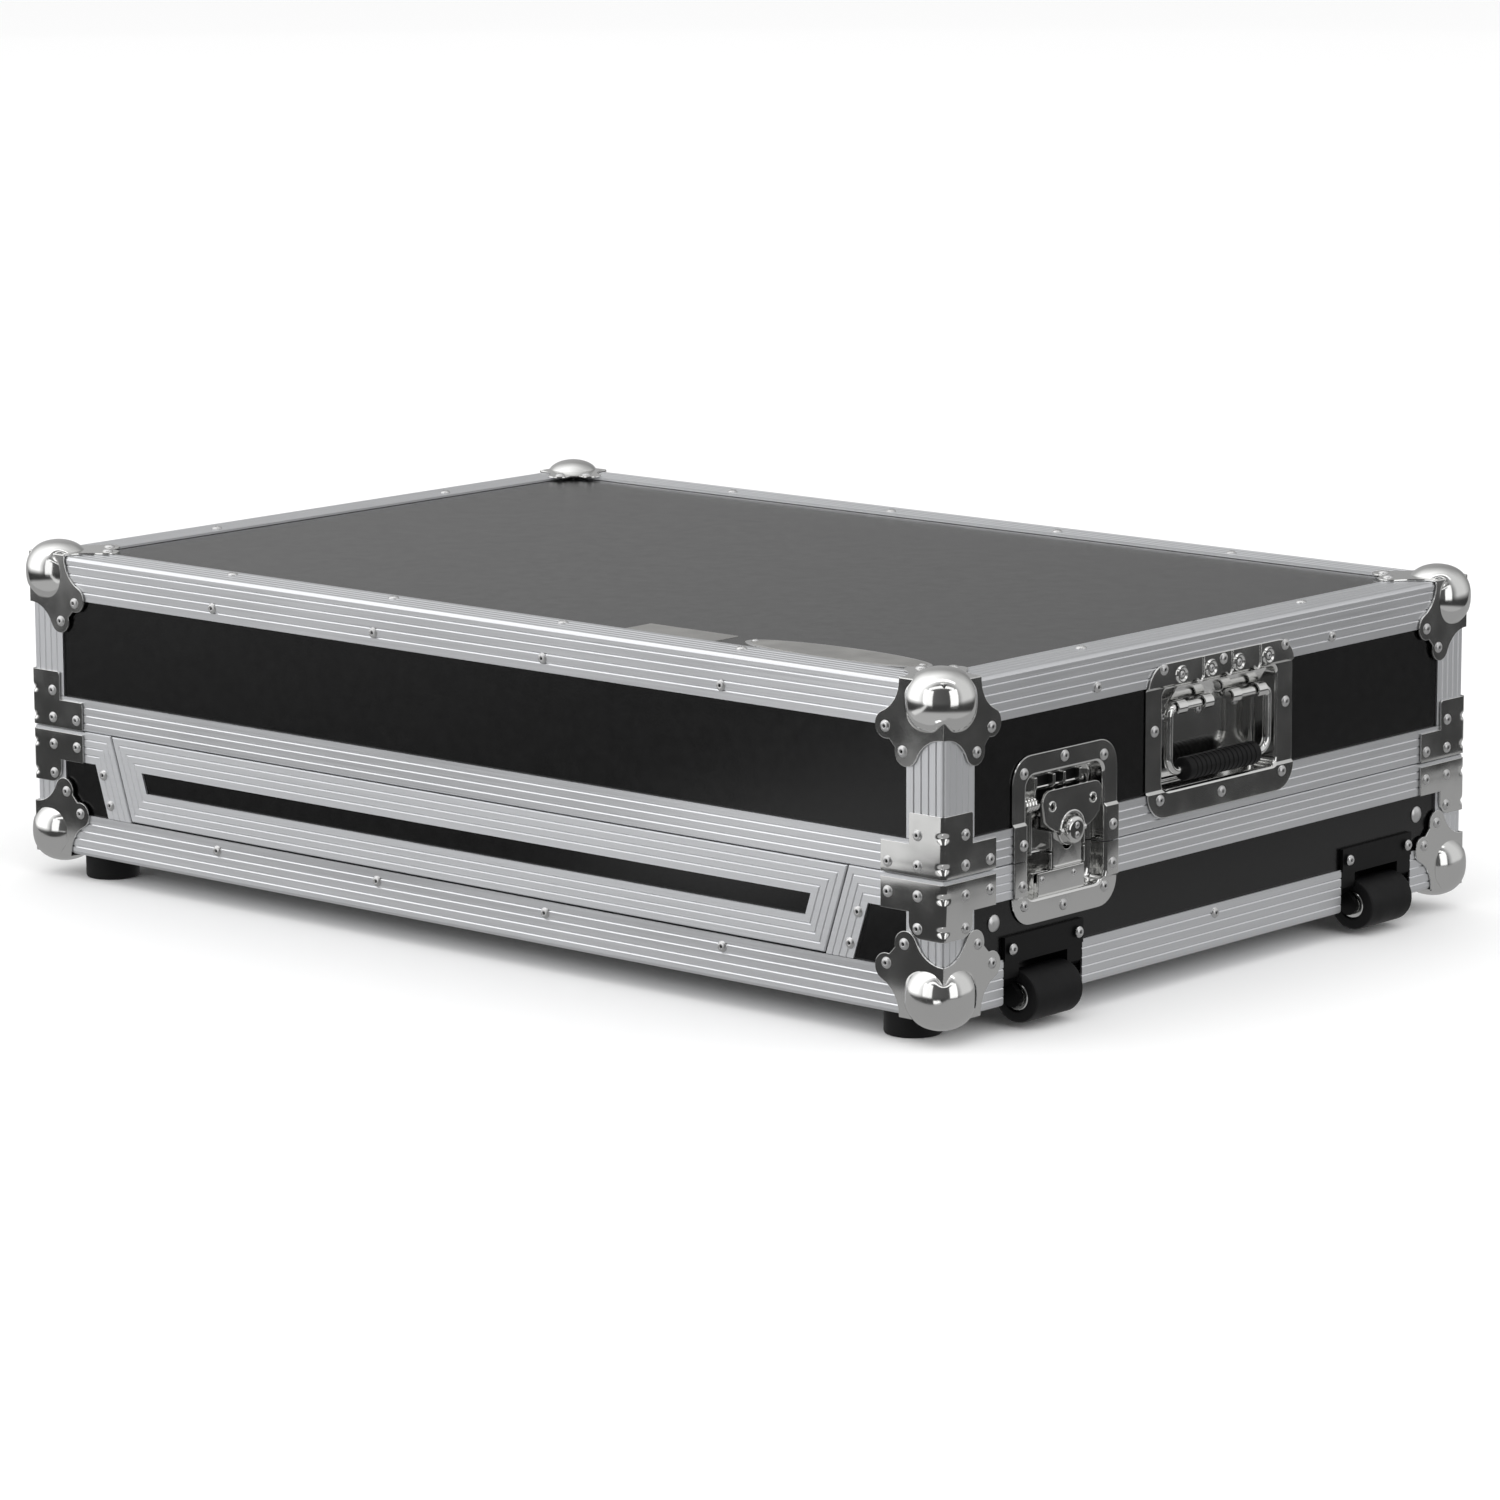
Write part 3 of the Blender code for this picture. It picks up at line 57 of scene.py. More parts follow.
MM = 0.001
WALL_X, WALL_Y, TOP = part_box("lid_edge_frame")[1]
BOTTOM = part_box("base_edge_frame")[0].z
SEAM = 0.108
SEAM_GAP = 0.0006
FIT = 0.0003
SHEET = 0.0012
SHEET_FACE = FIT + SHEET
RAIL = 0.030
LID_CHANNEL = 0.0226
BASE_CHANNEL = 0.022
PANEL_FACE = 0.0018
CORNERS = {"front_left": (-1, -1), "front_right": (1, -1), "rear_left": (-1, 1), "rear_right": (1, 1)}
SIDES = {"right": 1, "left": -1}
SAME_POINT = 1e-6
ON_PLANE = 1e-7


# Settings that a user would change


SWATCH = {"subtype": "COLOR", "size": 4, "min": 0, "max": 1}


class CaseColours(bpy.types.PropertyGroup):
    """Colours of the case's finishes."""

    laminate: FloatVectorProperty(
        name="Laminate", description="Facing of the plywood panels",
        default=(0.0014, 0.0014, 0.0015, 1), **SWATCH)
    aluminium: FloatVectorProperty(
        name="Aluminium", description="Edge rails and seam channels", default=(0.8, 0.81, 0.83, 1), **SWATCH)
    chrome: FloatVectorProperty(
        name="Chrome", description="Plated corners, latches and handles",
        default=(0.78, 0.78, 0.77, 1), **SWATCH)
    rivet: FloatVectorProperty(
        name="Rivets", description="Heads of the rivets and bolts", default=(0.66, 0.66, 0.66, 1), **SWATCH)
    rubber: FloatVectorProperty(
        name="Rubber", description="Wheels, feet and grips", default=(0.004, 0.004, 0.0044, 1), **SWATCH)
    # The plastic colour also darkens the rivet stems, as painted shade in the rivet hollows.
    plastic: FloatVectorProperty(
        name="Plastic", description="Wheel housings", default=(0.0018, 0.0018, 0.002, 1), **SWATCH)
    foam: FloatVectorProperty(
        name="Foam", description="Lining of the lid and the base", default=(0.022, 0.022, 0.024, 1), **SWATCH)
    plate: FloatVectorProperty(
        name="Bare plates", description="Blank label and badge on the top",
        default=(0.5, 0.495, 0.48, 1), **SWATCH)


class HardwareSizes(bpy.types.PropertyGroup):
    """Sizes of the small hardware."""

    rivet_radius: FloatProperty(
        name="Rivet radius", description="Radius of a rivet's head",
        default=0.0038, min=0.002, max=0.004, subtype="DISTANCE")
    rivet_height: FloatProperty(
        name="Rivet height", description="Height of a rivet's head",
        default=0.0016, min=0.0005, max=0.002, subtype="DISTANCE")
    bolt_radius: FloatProperty(
        name="Bolt radius", description="Radius of the round bolt heads",
        default=0.0056, min=0.004, max=0.007, subtype="DISTANCE")
    ball_radius: FloatProperty(
        name="Ball radius", description="Half the ball corner's width",
        default=0.022, min=0.02, max=0.0227, subtype="DISTANCE")
    grip_ribs: IntProperty(
        name="Grip ribs", description="Ribs along a handle's grip", default=15, min=5, max=30)


class StageSettings(bpy.types.PropertyGroup):
    """The camera, the lights and the floor."""

    lens: FloatProperty(
        name="Lens", description="Focal length of the camera, in millimetres",
        default=143.19, min=20, max=300)
    softbox_watts: FloatProperty(
        name="Softboxes", description="Power of each softbox", default=12.0, min=0, max=1000, subtype="POWER")
    background: FloatProperty(
        name="Background", description="Brightness of the white surroundings", default=1.12, min=0, max=5)


# Finishes


class Finish:
    """A procedural material on Object coordinates, and short calls that add its nodes."""

    def __init__(self, name, colour, roughness, metallic=0.0):
        self.material = bpy.data.materials.new(name)
        self.material.use_nodes = True
        self.tree = self.material.node_tree
        self.shader = self.tree.nodes["Principled BSDF"]
        self.colour = tuple(colour)
        self.set(**{"Base Color": self.colour, "Roughness": roughness, "Metallic": metallic})
        self.place = self.node("ShaderNodeTexCoord").outputs["Object"]
        self.height = None

    def set(self, **values):
        for socket, value in values.items():
            self.feed(self.shader.inputs[socket], value)

    def feed(self, socket, value):
        if isinstance(value, bpy.types.NodeSocket):
            self.tree.links.new(value, socket)
        else:
            socket.default_value = value

    def node(self, kind, *values, **settings):
        made = self.tree.nodes.new(kind)
        for name, value in settings.items():
            setattr(made, name, value)
        for socket, value in zip(made.inputs, values):
            self.feed(socket, value)
        return made

    def math(self, operation, *values):
        return self.node("ShaderNodeMath", *values, operation=operation).outputs[0]

    def noise(self, scale, detail=2.0, stretch=(1.0, 1.0, 1.0)):
        """A noise's value; stretch below 1 draws it out along that axis."""
        mapping = self.node("ShaderNodeMapping", self.place)
        mapping.inputs["Scale"].default_value = stretch
        made = self.node("ShaderNodeTexNoise", mapping.outputs[0])
        made.inputs["Scale"].default_value = scale
        made.inputs["Detail"].default_value = detail
        return made.outputs[0]

    def spread(self, value, low, high, least, most):
        """The value's range from low to high, spread from least to most."""
        return self.node("ShaderNodeMapRange", value, low, high, least, most).outputs[0]

    def shade(self, value, darkest, lightest):
        """Colours the material from darker to lighter than its colour as the value goes from 0 to 1."""
        ramp = self.node("ShaderNodeValToRGB", value)
        for stop, share in zip(ramp.color_ramp.elements, (darkest, lightest)):
            stop.color = (*[min(1.0, part * share) for part in self.colour[:3]], 1.0)
        self.set(**{"Base Color": ramp.outputs[0]})

    def glow(self, strength):
        """Makes the material give white light and reflect none."""
        self.set(**{"Specular IOR Level": 0, "Emission Color": (1, 1, 1, 1), "Emission Strength": strength})

    def bump(self, value, distance, strength=1.0):
        made = self.node("ShaderNodeBump")
        made.inputs["Strength"].default_value = strength
        made.inputs["Distance"].default_value = distance
        self.feed(made.inputs["Height"], value)
        if self.height:
            self.feed(made.inputs["Normal"], self.height)
        self.height = made.outputs[0]
        self.set(Normal=self.height)


def worn(word):
    """The finish of that name, once the finishes are made."""
    return bpy.data.materials[f"case {word}"]


def laminate_finish(colours):
    """The laminate's fine pebble, with a gloss that varies a little."""
    made = Finish("case laminate", colours.laminate, 0.22)
    pebble = made.noise(950.0, 3.0)
    made.shade(made.spread(pebble, 0.35, 0.65, 0.0, 1.0), 0.55, 1.6)
    made.set(Roughness=made.spread(made.noise(120.0, 4.0), 0.3, 0.7, 0.21, 0.24))
    made.bump(pebble, 0.0001, 0.5)


def aluminium_finish(name, colours, dulled):
    """Extruded aluminium: its fine drawn lines follow each run, along X, along Y or up the posts."""
    fineness, drawn = 1500.0, 0.006
    made = Finish(name, colours.aluminium, 0.30, 1.0)
    parts = made.node("ShaderNodeSeparateXYZ", made.place).outputs
    across = made.math("GREATER_THAN", made.math("ABSOLUTE", parts[0]), WALL_X - RAIL)
    along = made.math("GREATER_THAN", made.math("ABSOLUTE", parts[1]), WALL_Y - RAIL)
    post = made.math("MULTIPLY", across, along)
    side = made.math("SUBTRACT", across, post)
    lines = made.noise(fineness, 2.0, (drawn, 1.0, 1.0))
    for mask, stretch in ((side, (1.0, drawn, 1.0)), (post, (1.0, 1.0, drawn))):
        other = made.noise(fineness, 2.0, stretch)
        kept = made.math("MULTIPLY", lines, made.math("SUBTRACT", 1.0, mask))
        lines = made.math("ADD", kept, made.math("MULTIPLY", other, mask))
    haze = made.spread(made.noise(9.0, 3.0), 0.3, 0.7, dulled, dulled + 0.04)
    matt = made.math("MULTIPLY_ADD", post, 0.08, haze)
    made.set(Roughness=made.math("ADD", made.spread(lines, 0.3, 0.7, 0.32, 0.39), matt))
    made.shade(made.spread(lines, 0.25, 0.75, 0.0, 1.0), 0.95, 1.0)
    made.bump(lines, 0.00002, 0.08)


def metal_finish(name, colour, roughness, wave):
    """Plated or bare metal, faintly wavy, with a trace of handling in its gloss."""
    made = Finish(name, colour, roughness, 1.0)
    made.set(Roughness=made.spread(made.noise(45.0, 4.0), 0.35, 0.75, roughness, roughness * 1.7))
    made.shade(made.noise(20.0), 0.94, 1.0)
    made.bump(made.noise(55.0, 1.0), 0.0006, wave)


def moulded_finish(name, colour, roughness, grain, depth):
    """Rubber, plastic or foam: a fine grain over a colour that varies a little."""
    made = Finish(name, colour, roughness)
    made.set(**{"Specular IOR Level": 0.2})
    made.shade(made.noise(30.0, 3.0), 0.7, 1.3)
    made.set(Roughness=made.spread(made.noise(70.0), 0.3, 0.7, roughness * 0.9, min(1.0, roughness * 1.1)))
    made.bump(made.noise(grain, 3.0), depth, 0.5)


# Points and places


def mm(*points):
    """Points given in millimetres."""
    return [tuple(value * MM for value in point) for point in points]


def arc(across, up, radius, start, end, steps):
    """Points on an arc about a centre, its angles in degrees, both ends included."""
    angles = [math.radians(start + (end - start) * step / steps) for step in range(steps + 1)]
    return [(across + radius * math.cos(angle), up + radius * math.sin(angle)) for angle in angles]


def oval(across, up, long, wide, steps):
    """The points round an oval about a centre."""
    turns = [math.tau * step / steps for step in range(steps)]
    return [(across + long * math.cos(turn), up + wide * math.sin(turn)) for turn in turns]


def rounded(left, right, low, high, radius, steps=8):
    """The points round a rectangle with rounded corners."""
    centres = ((right - radius, high - radius), (left + radius, high - radius),
               (left + radius, low + radius), (right - radius, low + radius))
    points = []
    for turn, (across, up) in enumerate(centres):
        points += arc(across, up, radius, 90 * turn, 90 * turn + 90, steps)
    return points


def grown(edges, grow):
    """A rounded rectangle, given by its edges and radius, let out on all sides."""
    left, right, low, high, radius = edges
    return rounded(left - grow, right + grow, low - grow, high + grow, radius + grow)


def smoothstep(low, high, value):
    share = min(1.0, max(0.0, (value - low) / (high - low)))
    return share * share * (3.0 - 2.0 * share)


def at(x, y, z):
    return Matrix.Translation((x, y, z))


def turned(axis, degrees):
    return Matrix.Rotation(math.radians(degrees), 4, axis)


def facing(point, normal):
    """The place of a fitting made on the XY plane with +Z outwards, set on a face at a point."""
    return Matrix.Translation(point) @ Vector(normal).to_track_quat("Z", "Y").to_matrix().to_4x4()


# Shapes


def ring(shape, points, closed=True):
    """Adds corners at the points and edges between them, all round or from end to end."""
    corners = [shape.verts.new(point) for point in points]
    return corners, [shape.edges.new(pair) for pair in zip(corners, corners[1:] + corners[:1] * closed)]


def outward(shape):
    """The shape with its faces turned outwards."""
    bmesh.ops.recalc_face_normals(shape, faces=shape.faces)
    return shape


def eased(shape, edges, offset, segments=2):
    """The shape with some of its edges rounded."""
    bmesh.ops.bevel(shape, geom=edges, offset=offset, affect="EDGES", segments=segments, profile=0.5,
                    material=-1)
    return shape


def lathe(profile, steps=16):
    """A solid turned about Z from (radius, height) points in millimetres.

    A profile that starts off the axis closes on itself.
    """
    shape = bmesh.new()
    points = [(radius * MM, 0.0, height * MM) for radius, height in profile]
    corners, sides = ring(shape, points, profile[0][0] > 0)
    bmesh.ops.spin(shape, geom=corners + sides, cent=(0, 0, 0), axis=(0, 0, 1), angle=math.tau,
                   steps=steps, use_merge=True)
    bmesh.ops.remove_doubles(shape, verts=shape.verts, dist=SAME_POINT)
    return outward(shape)


def loft(sections, ends=(True, True)):
    """A skin bridged through rings of points, with or without a face on its first and last ring."""
    shape = bmesh.new()
    rings = [ring(shape, section) for section in sections]
    for (_, near), (_, far) in zip(rings, rings[1:]):
        bmesh.ops.bridge_loops(shape, edges=near + far)
    for wanted, (corners, _) in zip(ends, (rings[0], rings[-1])):
        if wanted:
            shape.faces.new(corners)
    return outward(shape)


def tube(path, radius, across, sides):
    """A round bar along a path; across is a direction at right angles to the whole path."""
    across = Vector(across)
    points = [Vector(point) for point in path]
    angles = [math.tau * side / sides for side in range(sides)]
    rings = []
    for before, point, after in zip(points[:1] + points, points, points[1:] + points[-1:]):
        up = (after - before).cross(across).normalized()
        rings.append([point + radius * (math.cos(angle) * across + math.sin(angle) * up) for angle in angles])
    return loft(rings)


def slab(outline, low, high, edge, holes=()):
    """A flat plate of an outline in XY, between two heights, with its upper rims rounded."""
    shape = bmesh.new()
    sides = []
    for points in (outline, *holes):
        sides += ring(shape, [(x, y, low) for x, y in points])[1]
    if holes:
        bmesh.ops.triangle_fill(shape, use_beauty=True, edges=sides)
    else:
        shape.faces.new(shape.verts)
    extruded = bmesh.ops.extrude_face_region(shape, geom=shape.faces[:] + shape.edges[:], use_keep_orig=True)
    top = {item for item in extruded["geom"] if isinstance(item, bmesh.types.BMVert)}
    bmesh.ops.translate(shape, vec=(0, 0, high - low), verts=list(top))
    outward(shape)
    rim = [item for item in shape.edges if top.issuperset(item.verts)
           and any(abs(face.normal.z) < 0.5 for face in item.link_faces)]
    return eased(shape, rim, edge)


def block(low, high, edge=0.0):
    """A box between two corners, in millimetres, with all its edges rounded."""
    low, high = [Vector(corner) for corner in mm(low, high)]
    shape = bmesh.new()
    bmesh.ops.create_cube(shape, size=1.0)
    bmesh.ops.scale(shape, vec=high - low, verts=shape.verts)
    bmesh.ops.translate(shape, vec=(low + high) / 2, verts=shape.verts)
    return eased(shape, shape.edges[:], edge * MM) if edge else shape


def bisect(shape, point, normal, above=True, below=True):
    """Cuts a shape by a plane, and keeps what is above it, below it or both."""
    bmesh.ops.bisect_plane(shape, geom=shape.verts[:] + shape.edges[:] + shape.faces[:], dist=ON_PLANE,
                           plane_co=point, plane_no=normal, clear_outer=not above, clear_inner=not below)


def mesh_of(name, shape):
    """A mesh made from a shape, which is used up."""
    mesh = bpy.data.meshes.new(name)
    shape.to_mesh(mesh)
    shape.free()
    return mesh


def linked(name, data):
    """An object with that data, linked to the scene."""
    made = bpy.data.objects.new(name, data)
    bpy.context.collection.objects.link(made)
    return made


class Piece:
    """A piece in the making: shapes are added to it in its own finish or in another."""

    def __init__(self, finish):
        self.shape = bmesh.new()
        self.own = finish
        self.finishes = []

    def add(self, shape, *places, finish=None):
        """Adds a shape as it stands, or once at each place given, and uses it up."""
        finish = finish or self.own
        if finish not in self.finishes:
            self.finishes.append(finish)
        for face in shape.faces:
            face.material_index = self.finishes.index(finish)
        mesh = mesh_of("shape", shape)
        for place in places or (Matrix.Identity(4),):
            first = len(self.shape.verts)
            self.shape.from_mesh(mesh)
            self.shape.verts.ensure_lookup_table()
            bmesh.ops.transform(self.shape, matrix=place, verts=self.shape.verts[first:])
        bpy.data.meshes.remove(mesh)

    def rivet(self, sizes, places, scale=1.0):
        """Sets a rivet at each place."""
        self.add(rivet_head(sizes, scale), *places, finish="rivet")
        # The stem's near-black plastic finish is painted shade in each rivet's hollow, over a real stem.
        self.add(rivet_stem_and_shade(sizes, scale), *places, finish="plastic")

    def moved(self, matrix):
        bmesh.ops.transform(self.shape, matrix=matrix, verts=self.shape.verts)
        return self

    def put(self, name, body, slot, nodes=(), smooth=32):
        """Makes the object: it rides on a body and stands for some CAD nodes. The slot is not used."""
        mesh = mesh_of(name, self.shape)
        for finish in self.finishes:
            mesh.materials.append(worn(finish))
        mesh.shade_smooth()
        mesh.set_sharp_from_angle(angle=math.radians(smooth))
        made = linked(name, mesh)
        made.modifiers.new("even shading", "WEIGHTED_NORMAL").keep_sharp = True
        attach(made, body)
        if nodes:
            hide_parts(*nodes)
        return made


def rivet_part(sizes, scale, shares, steps):
    """Part of a rivet, from (radius, height) points given as shares of its head's radius and height."""
    radius, height = sizes.rivet_radius * scale / MM, sizes.rivet_height * scale / MM
    return lathe([(radius * across, height * up) for across, up in shares], steps)


def rivet_head(sizes, scale=1.0):
    """A blind rivet's head, low and rounded, with the hollow that its pulled stem leaves."""
    shares = ((0, 0.3), (0.24, 0.3), (0.32, 0.88), (0.44, 0.98), (0.62, 0.9), (0.82, 0.62), (0.95, 0.28),
              (1, 0), (0, -0.2))
    return rivet_part(sizes, scale, shares, 18)


def rivet_stem_and_shade(sizes, scale=1.0):
    """What is left of the pulled stem in the hollow of a rivet's head, near black as painted shade in the
    hollow.
    """
    return rivet_part(sizes, scale, ((0, 0.52), (0.16, 0.48), (0.25, 0.4), (0.25, 0.1), (0, 0.1)), 10)


def bolt(sizes):
    """A round bolt head with a domed top."""
    radius = sizes.bolt_radius / MM
    profile = [(0, 2.3), (radius * 0.45, 2.1), (radius * 0.8, 1.6), (radius, 0.7), (radius, 0), (0, -0.3)]
    return lathe(profile, 20)


# Places of the hardware. A latch or a handle has its own frame: +X outwards, Y across and Z up.


LOW_STEP = -BASE_CHANNEL - FIT
HIGH_STEP = LID_CHANNEL + FIT
LATCH_Y = -0.1578
LATCH_PLATE = (-0.053, 0.053, -0.042, 0.067, 0.018)
LATCH_OPENING = (-0.039, 0.039, -0.026, 0.053, 0.008)
LATCH_DEPTH = 0.012
LATCH_STEPS = ((LOW_STEP - PANEL_FACE, 0.0), (LOW_STEP, 1.0), (HIGH_STEP, 1.0), (HIGH_STEP + PANEL_FACE, 0.0))
LATCH_RIVETS = mm((-41.7, 55.7), (-0.9, 61.7), (39.2, 56.6), (46.9, 10.6), (-43.8, 10.3),
                  (46.5, -14.7), (-45, -15.8), (40.2, -29.1), (-41.1, -29.1), (-1.7, -34.3))
CAM = Vector((0.0, 0.0080, 0.0128))
FOLD_X = -0.0015
HANDLE_Y = 0.00375
HANDLE_Z = 0.0565
HANDLE_PLATE = (-0.0787, 0.0787, -0.0508, 0.0508, 0.018)
HANDLE_OPENING = (-0.061, 0.061, -0.0328, 0.0328, 0.005)
HANDLE_DEPTH = 0.020
HANDLE_TOP = TOP - SEAM - RAIL - FIT - HANDLE_Z
HANDLE_STEPS = ((HIGH_STEP - HANDLE_Z, 1.0), (HIGH_STEP - HANDLE_Z + PANEL_FACE, 0.0),
                (HANDLE_TOP - PANEL_FACE, 0.0), (HANDLE_TOP, 1.0))
HANDLE_RIVETS = mm((-62.6, 47), (0.8, 46), (68, 46.6), (71.3, 7.8), (65.8, -37.9), (0, -41.8), (-65.7, -38.2),
                   (-69.7, 7.3))
PIVOT = Vector((-0.0020, 0.0, 0.0195))
CURLS = (-0.043, -0.015, 0.015, 0.043)

# UPRIGHT takes +Z to +X, for fittings on a plate's face; ALONG_Y takes +Z to -Y, for pins and bars
UPRIGHT = Matrix(((0, 0, 1, 0), (1, 0, 0, 0), (0, 1, 0, 0), (0, 0, 0, 1)))
ALONG_Y = turned("X", 90)


def corner_turn(side, end, up):
    """The rotation that takes a fitting from the (+X, +Y, +Z) corner to another corner."""
    turn = Matrix(((side, 0, 0), (0, end, 0), (0, 0, up)))
    if side * end * up < 0:
        turn = turn @ Matrix(((0, 1, 0), (1, 0, 0), (0, 0, 1)))
    return turn.to_4x4()


def end_place(side, y, z):
    """The place of a fitting made about its own middle, facing +X, at the right or the left end."""
    return at(side * WALL_X, y, z) @ turned("Z", 0 if side > 0 else 180)


def sheet_level(z, steps):
    """How far a plate's face stands off the wall where it steps down from the rails to the panel."""
    share = steps[0][1]
    for (start, before), (end, after) in zip(steps, steps[1:]):
        if z > start:
            share = before + (after - before) * min(1.0, (z - start) / (end - start))
    return SHEET_FACE - PANEL_FACE + PANEL_FACE * share


def on_sheet(y, z, steps):
    """The place of a fitting on a plate's face, facing out."""
    return at(sheet_level(z, steps), y, z) @ UPRIGHT


def pressed_sheet(plate, opening, depth, steps):
    """The face of a plate with a dish pressed into it."""
    rim, floor, blend = 0.0022, 0.0030, 0.005
    rings = [(plate, 0.0, -0.0006), (plate, -0.0002, -0.0001), (plate, -0.0008, 0.0)]
    bends = [math.radians(22.5 * step) for step in range(5)]
    turns = [(1 - math.sin(bend), math.cos(bend) - 1) for bend in bends]
    rings += [(opening, rim * run, rim * drop) for run, drop in turns]
    rings += [(opening, floor * drop - FIT, floor * run - depth) for run, drop in turns]
    shape = loft([[(x, y, z) for y, z in grown(edges, grow)] for edges, grow, x in rings], ends=(False, True))
    for z, _ in steps:
        bisect(shape, (0, 0, z), (0, 0, 1))
    for corner in shape.verts:
        corner.co.x += sheet_level(corner.co.z, steps) * min(1.0, max(0.0, 1.0 + corner.co.x / blend))
    shape.normal_update()
    if max(shape.faces, key=lambda face: face.calc_area()).normal.x < 0:
        bmesh.ops.reverse_faces(shape, faces=shape.faces)
    return shape


def thickened(shape):
    """A sheet given its thickness behind its face."""
    bmesh.ops.solidify(shape, geom=shape.faces, thickness=SHEET)
    return outward(shape)


# The corners


def leg_outline():
    """One leg of a ball corner, as distances from the corner along two edges of the case."""
    scoop = arc(0.058, 0.0, 0.023, 180, 114, 8)
    lobe = arc(0.0455, 0.0295, 0.009, -66, 106, 14)
    half = [(0.035, -SHEET)] + scoop + lobe
    return [(-SHEET, -SHEET)] + half + [(v, u) for u, v in reversed(half)]


def crease(point):
    """Draws a point of the ball in where the shell folds along the case's three edges."""
    clear, start, full = 0.012, 0.022, 0.034
    deep, wide = 0.0070, 0.0030
    for axis in range(3):
        first, second = [index for index in range(3) if index != axis]
        if point[first] + point[second] < -clear:
            continue
        off = (point[first] - point[second]) / math.sqrt(2)
        depth = deep * math.exp(-(off / wide) ** 2) * smoothstep(start, full, -point[axis])
        point[first] -= depth / math.sqrt(2)
        point[second] -= depth / math.sqrt(2)


def corner_ball(sizes):
    """The ball over a corner, a little squarer than a sphere, in the (+X, +Y, +Z) corner's frame.

    Its inner share is drawn out onto the case's faces, so that it stays inside the walls.
    """
    inset, power, sunk, depth = 0.0133, 2.3, 0.0008, 0.040
    heart = Vector((-depth, -depth, -depth))
    shape = bmesh.new()
    bmesh.ops.create_uvsphere(shape, u_segments=88, v_segments=56, radius=1.0)
    for corner in shape.verts:
        part = corner.co
        reach = sum(abs(value) ** power for value in part) ** (1 / power)
        point = part * (sizes.ball_radius / reach) - Vector((inset, inset, inset))
        crease(point)
        if max(point) < -sunk:
            point = heart + (point - heart) * ((depth - sunk) / (max(point) + depth))
        corner.co = point
    return outward(shape)


def ball_corner(sizes):
    """A ball with its three riveted legs, in the (+X, +Y, +Z) corner's frame."""
    piece = Piece("chrome")
    piece.add(corner_ball(sizes))
    faces = [Matrix.Identity(4), UPRIGHT, UPRIGHT @ UPRIGHT]
    piece.add(slab([(-u, -v) for u, v in leg_outline()], FIT, SHEET_FACE, 0.0004), *faces)
    spots = ((-0.046, -0.0305), (-0.032, -0.045))
    piece.rivet(sizes, [face @ at(x, y, SHEET_FACE) for face in faces for x, y in spots])
    return piece


def bent(along, up, out):
    """A point of a flat brace once the brace is bent round the case's corner."""
    radius = 0.0027
    depth = SHEET_FACE - out
    centre = SHEET_FACE - radius
    half = radius * math.pi / 4
    if along > half:
        return Vector((SHEET_FACE - depth, centre - (along - half), up))
    if along < -half:
        return Vector((centre + along + half, SHEET_FACE - depth, up))
    angle = math.radians(45) - along / radius
    reach = radius - depth
    return Vector((centre + reach * math.cos(angle), centre + reach * math.sin(angle), up))


def brace(sizes, up, height, corner):
    """An L-shaped brace bent round the (+X, +Y) corner, standing up (1) or hanging down (-1) from its arms.

    Its fold has a dent at each row of rivets.
    """
    arm, leg, low = 0.0509, 0.0279, 0.020
    dent_half_width, dent_half_height, dent_depth = 0.0034, 0.0019, 0.0014
    half = [(arm, 0.0), (arm, low), (leg, low)] + arc(leg - corner, height - corner, corner, 0, 90, 6)
    outline = half + [(-along, z) for along, z in reversed(half)]
    shape = slab([(along, up * z) for along, z in outline], FIT, SHEET_FACE, 0.0003)
    rows = (0.0067, 0.0262) if up > 0 else (0.0093, 0.0301)
    for step in range(-10, 11):
        bisect(shape, (step * 0.0007, 0, 0), (1, 0, 0))
    for row in rows:
        for step in range(-5, 6):
            bisect(shape, (0, up * row + step * 0.0008, 0), (0, 1, 0))
    inward = Vector((-1, -1, 0)).normalized()
    for point in shape.verts:
        along, z, out = point.co
        off = min(abs(z - up * row) for row in rows)
        dent = math.exp(-(along / dent_half_width) ** 2 - (off / dent_half_height) ** 2)
        point.co = bent(along, z, out) + inward * dent_depth * dent
    piece = Piece("chrome")
    piece.add(outward(shape))
    spots = ((0.0198, rows[1]), (0.0198, rows[0]), (0.044, rows[0] + (0.0002 if up > 0 else 0.0)))
    heads = [facing((SHEET_FACE, -along, up * z), (1, 0, 0)) for along, z in spots]
    heads += [facing((-along, SHEET_FACE, up * z), (0, 1, 0)) for along, z in spots]
    piece.rivet(sizes, heads)
    return piece


# The latches


def latch_sheet(above):
    """The lid's (above) or the base's share of the latch dish, with the hollow in its floor."""
    left, right, low, high, sunk = -0.022, -0.008, -0.011, 0.013, 0.0038
    shape = pressed_sheet(LATCH_PLATE, LATCH_OPENING, LATCH_DEPTH, LATCH_STEPS)

    def floor():
        middles = [(face, face.calc_center_median()) for face in shape.faces]
        return [(face, middle) for face, middle in middles if middle.x < 0.00002 - LATCH_DEPTH]

    for point, normal in (((0, left, 0), (0, 1, 0)), ((0, right, 0), (0, 1, 0)),
                          ((0, 0, low), (0, 0, 1)), ((0, 0, high), (0, 0, 1))):
        faces = [face for face, _ in floor()]
        parts = dict.fromkeys(item for face in faces for item in (*face.verts, *face.edges))
        bmesh.ops.bisect_plane(shape, geom=[*faces, *parts], dist=ON_PLANE, plane_co=point, plane_no=normal)
    hole = [face for face, middle in floor() if left < middle.y < right and low < middle.z < high]
    extruded = bmesh.ops.extrude_face_region(shape, geom=hole)
    lowered = [item for item in extruded["geom"] if isinstance(item, bmesh.types.BMVert)]
    bmesh.ops.translate(shape, vec=(-sunk, 0, 0), verts=lowered)
    bisect(shape, (0, 0, SEAM_GAP / 2 if above else -SEAM_GAP / 2), (0, 0, 1), above, not above)
    return thickened(shape)


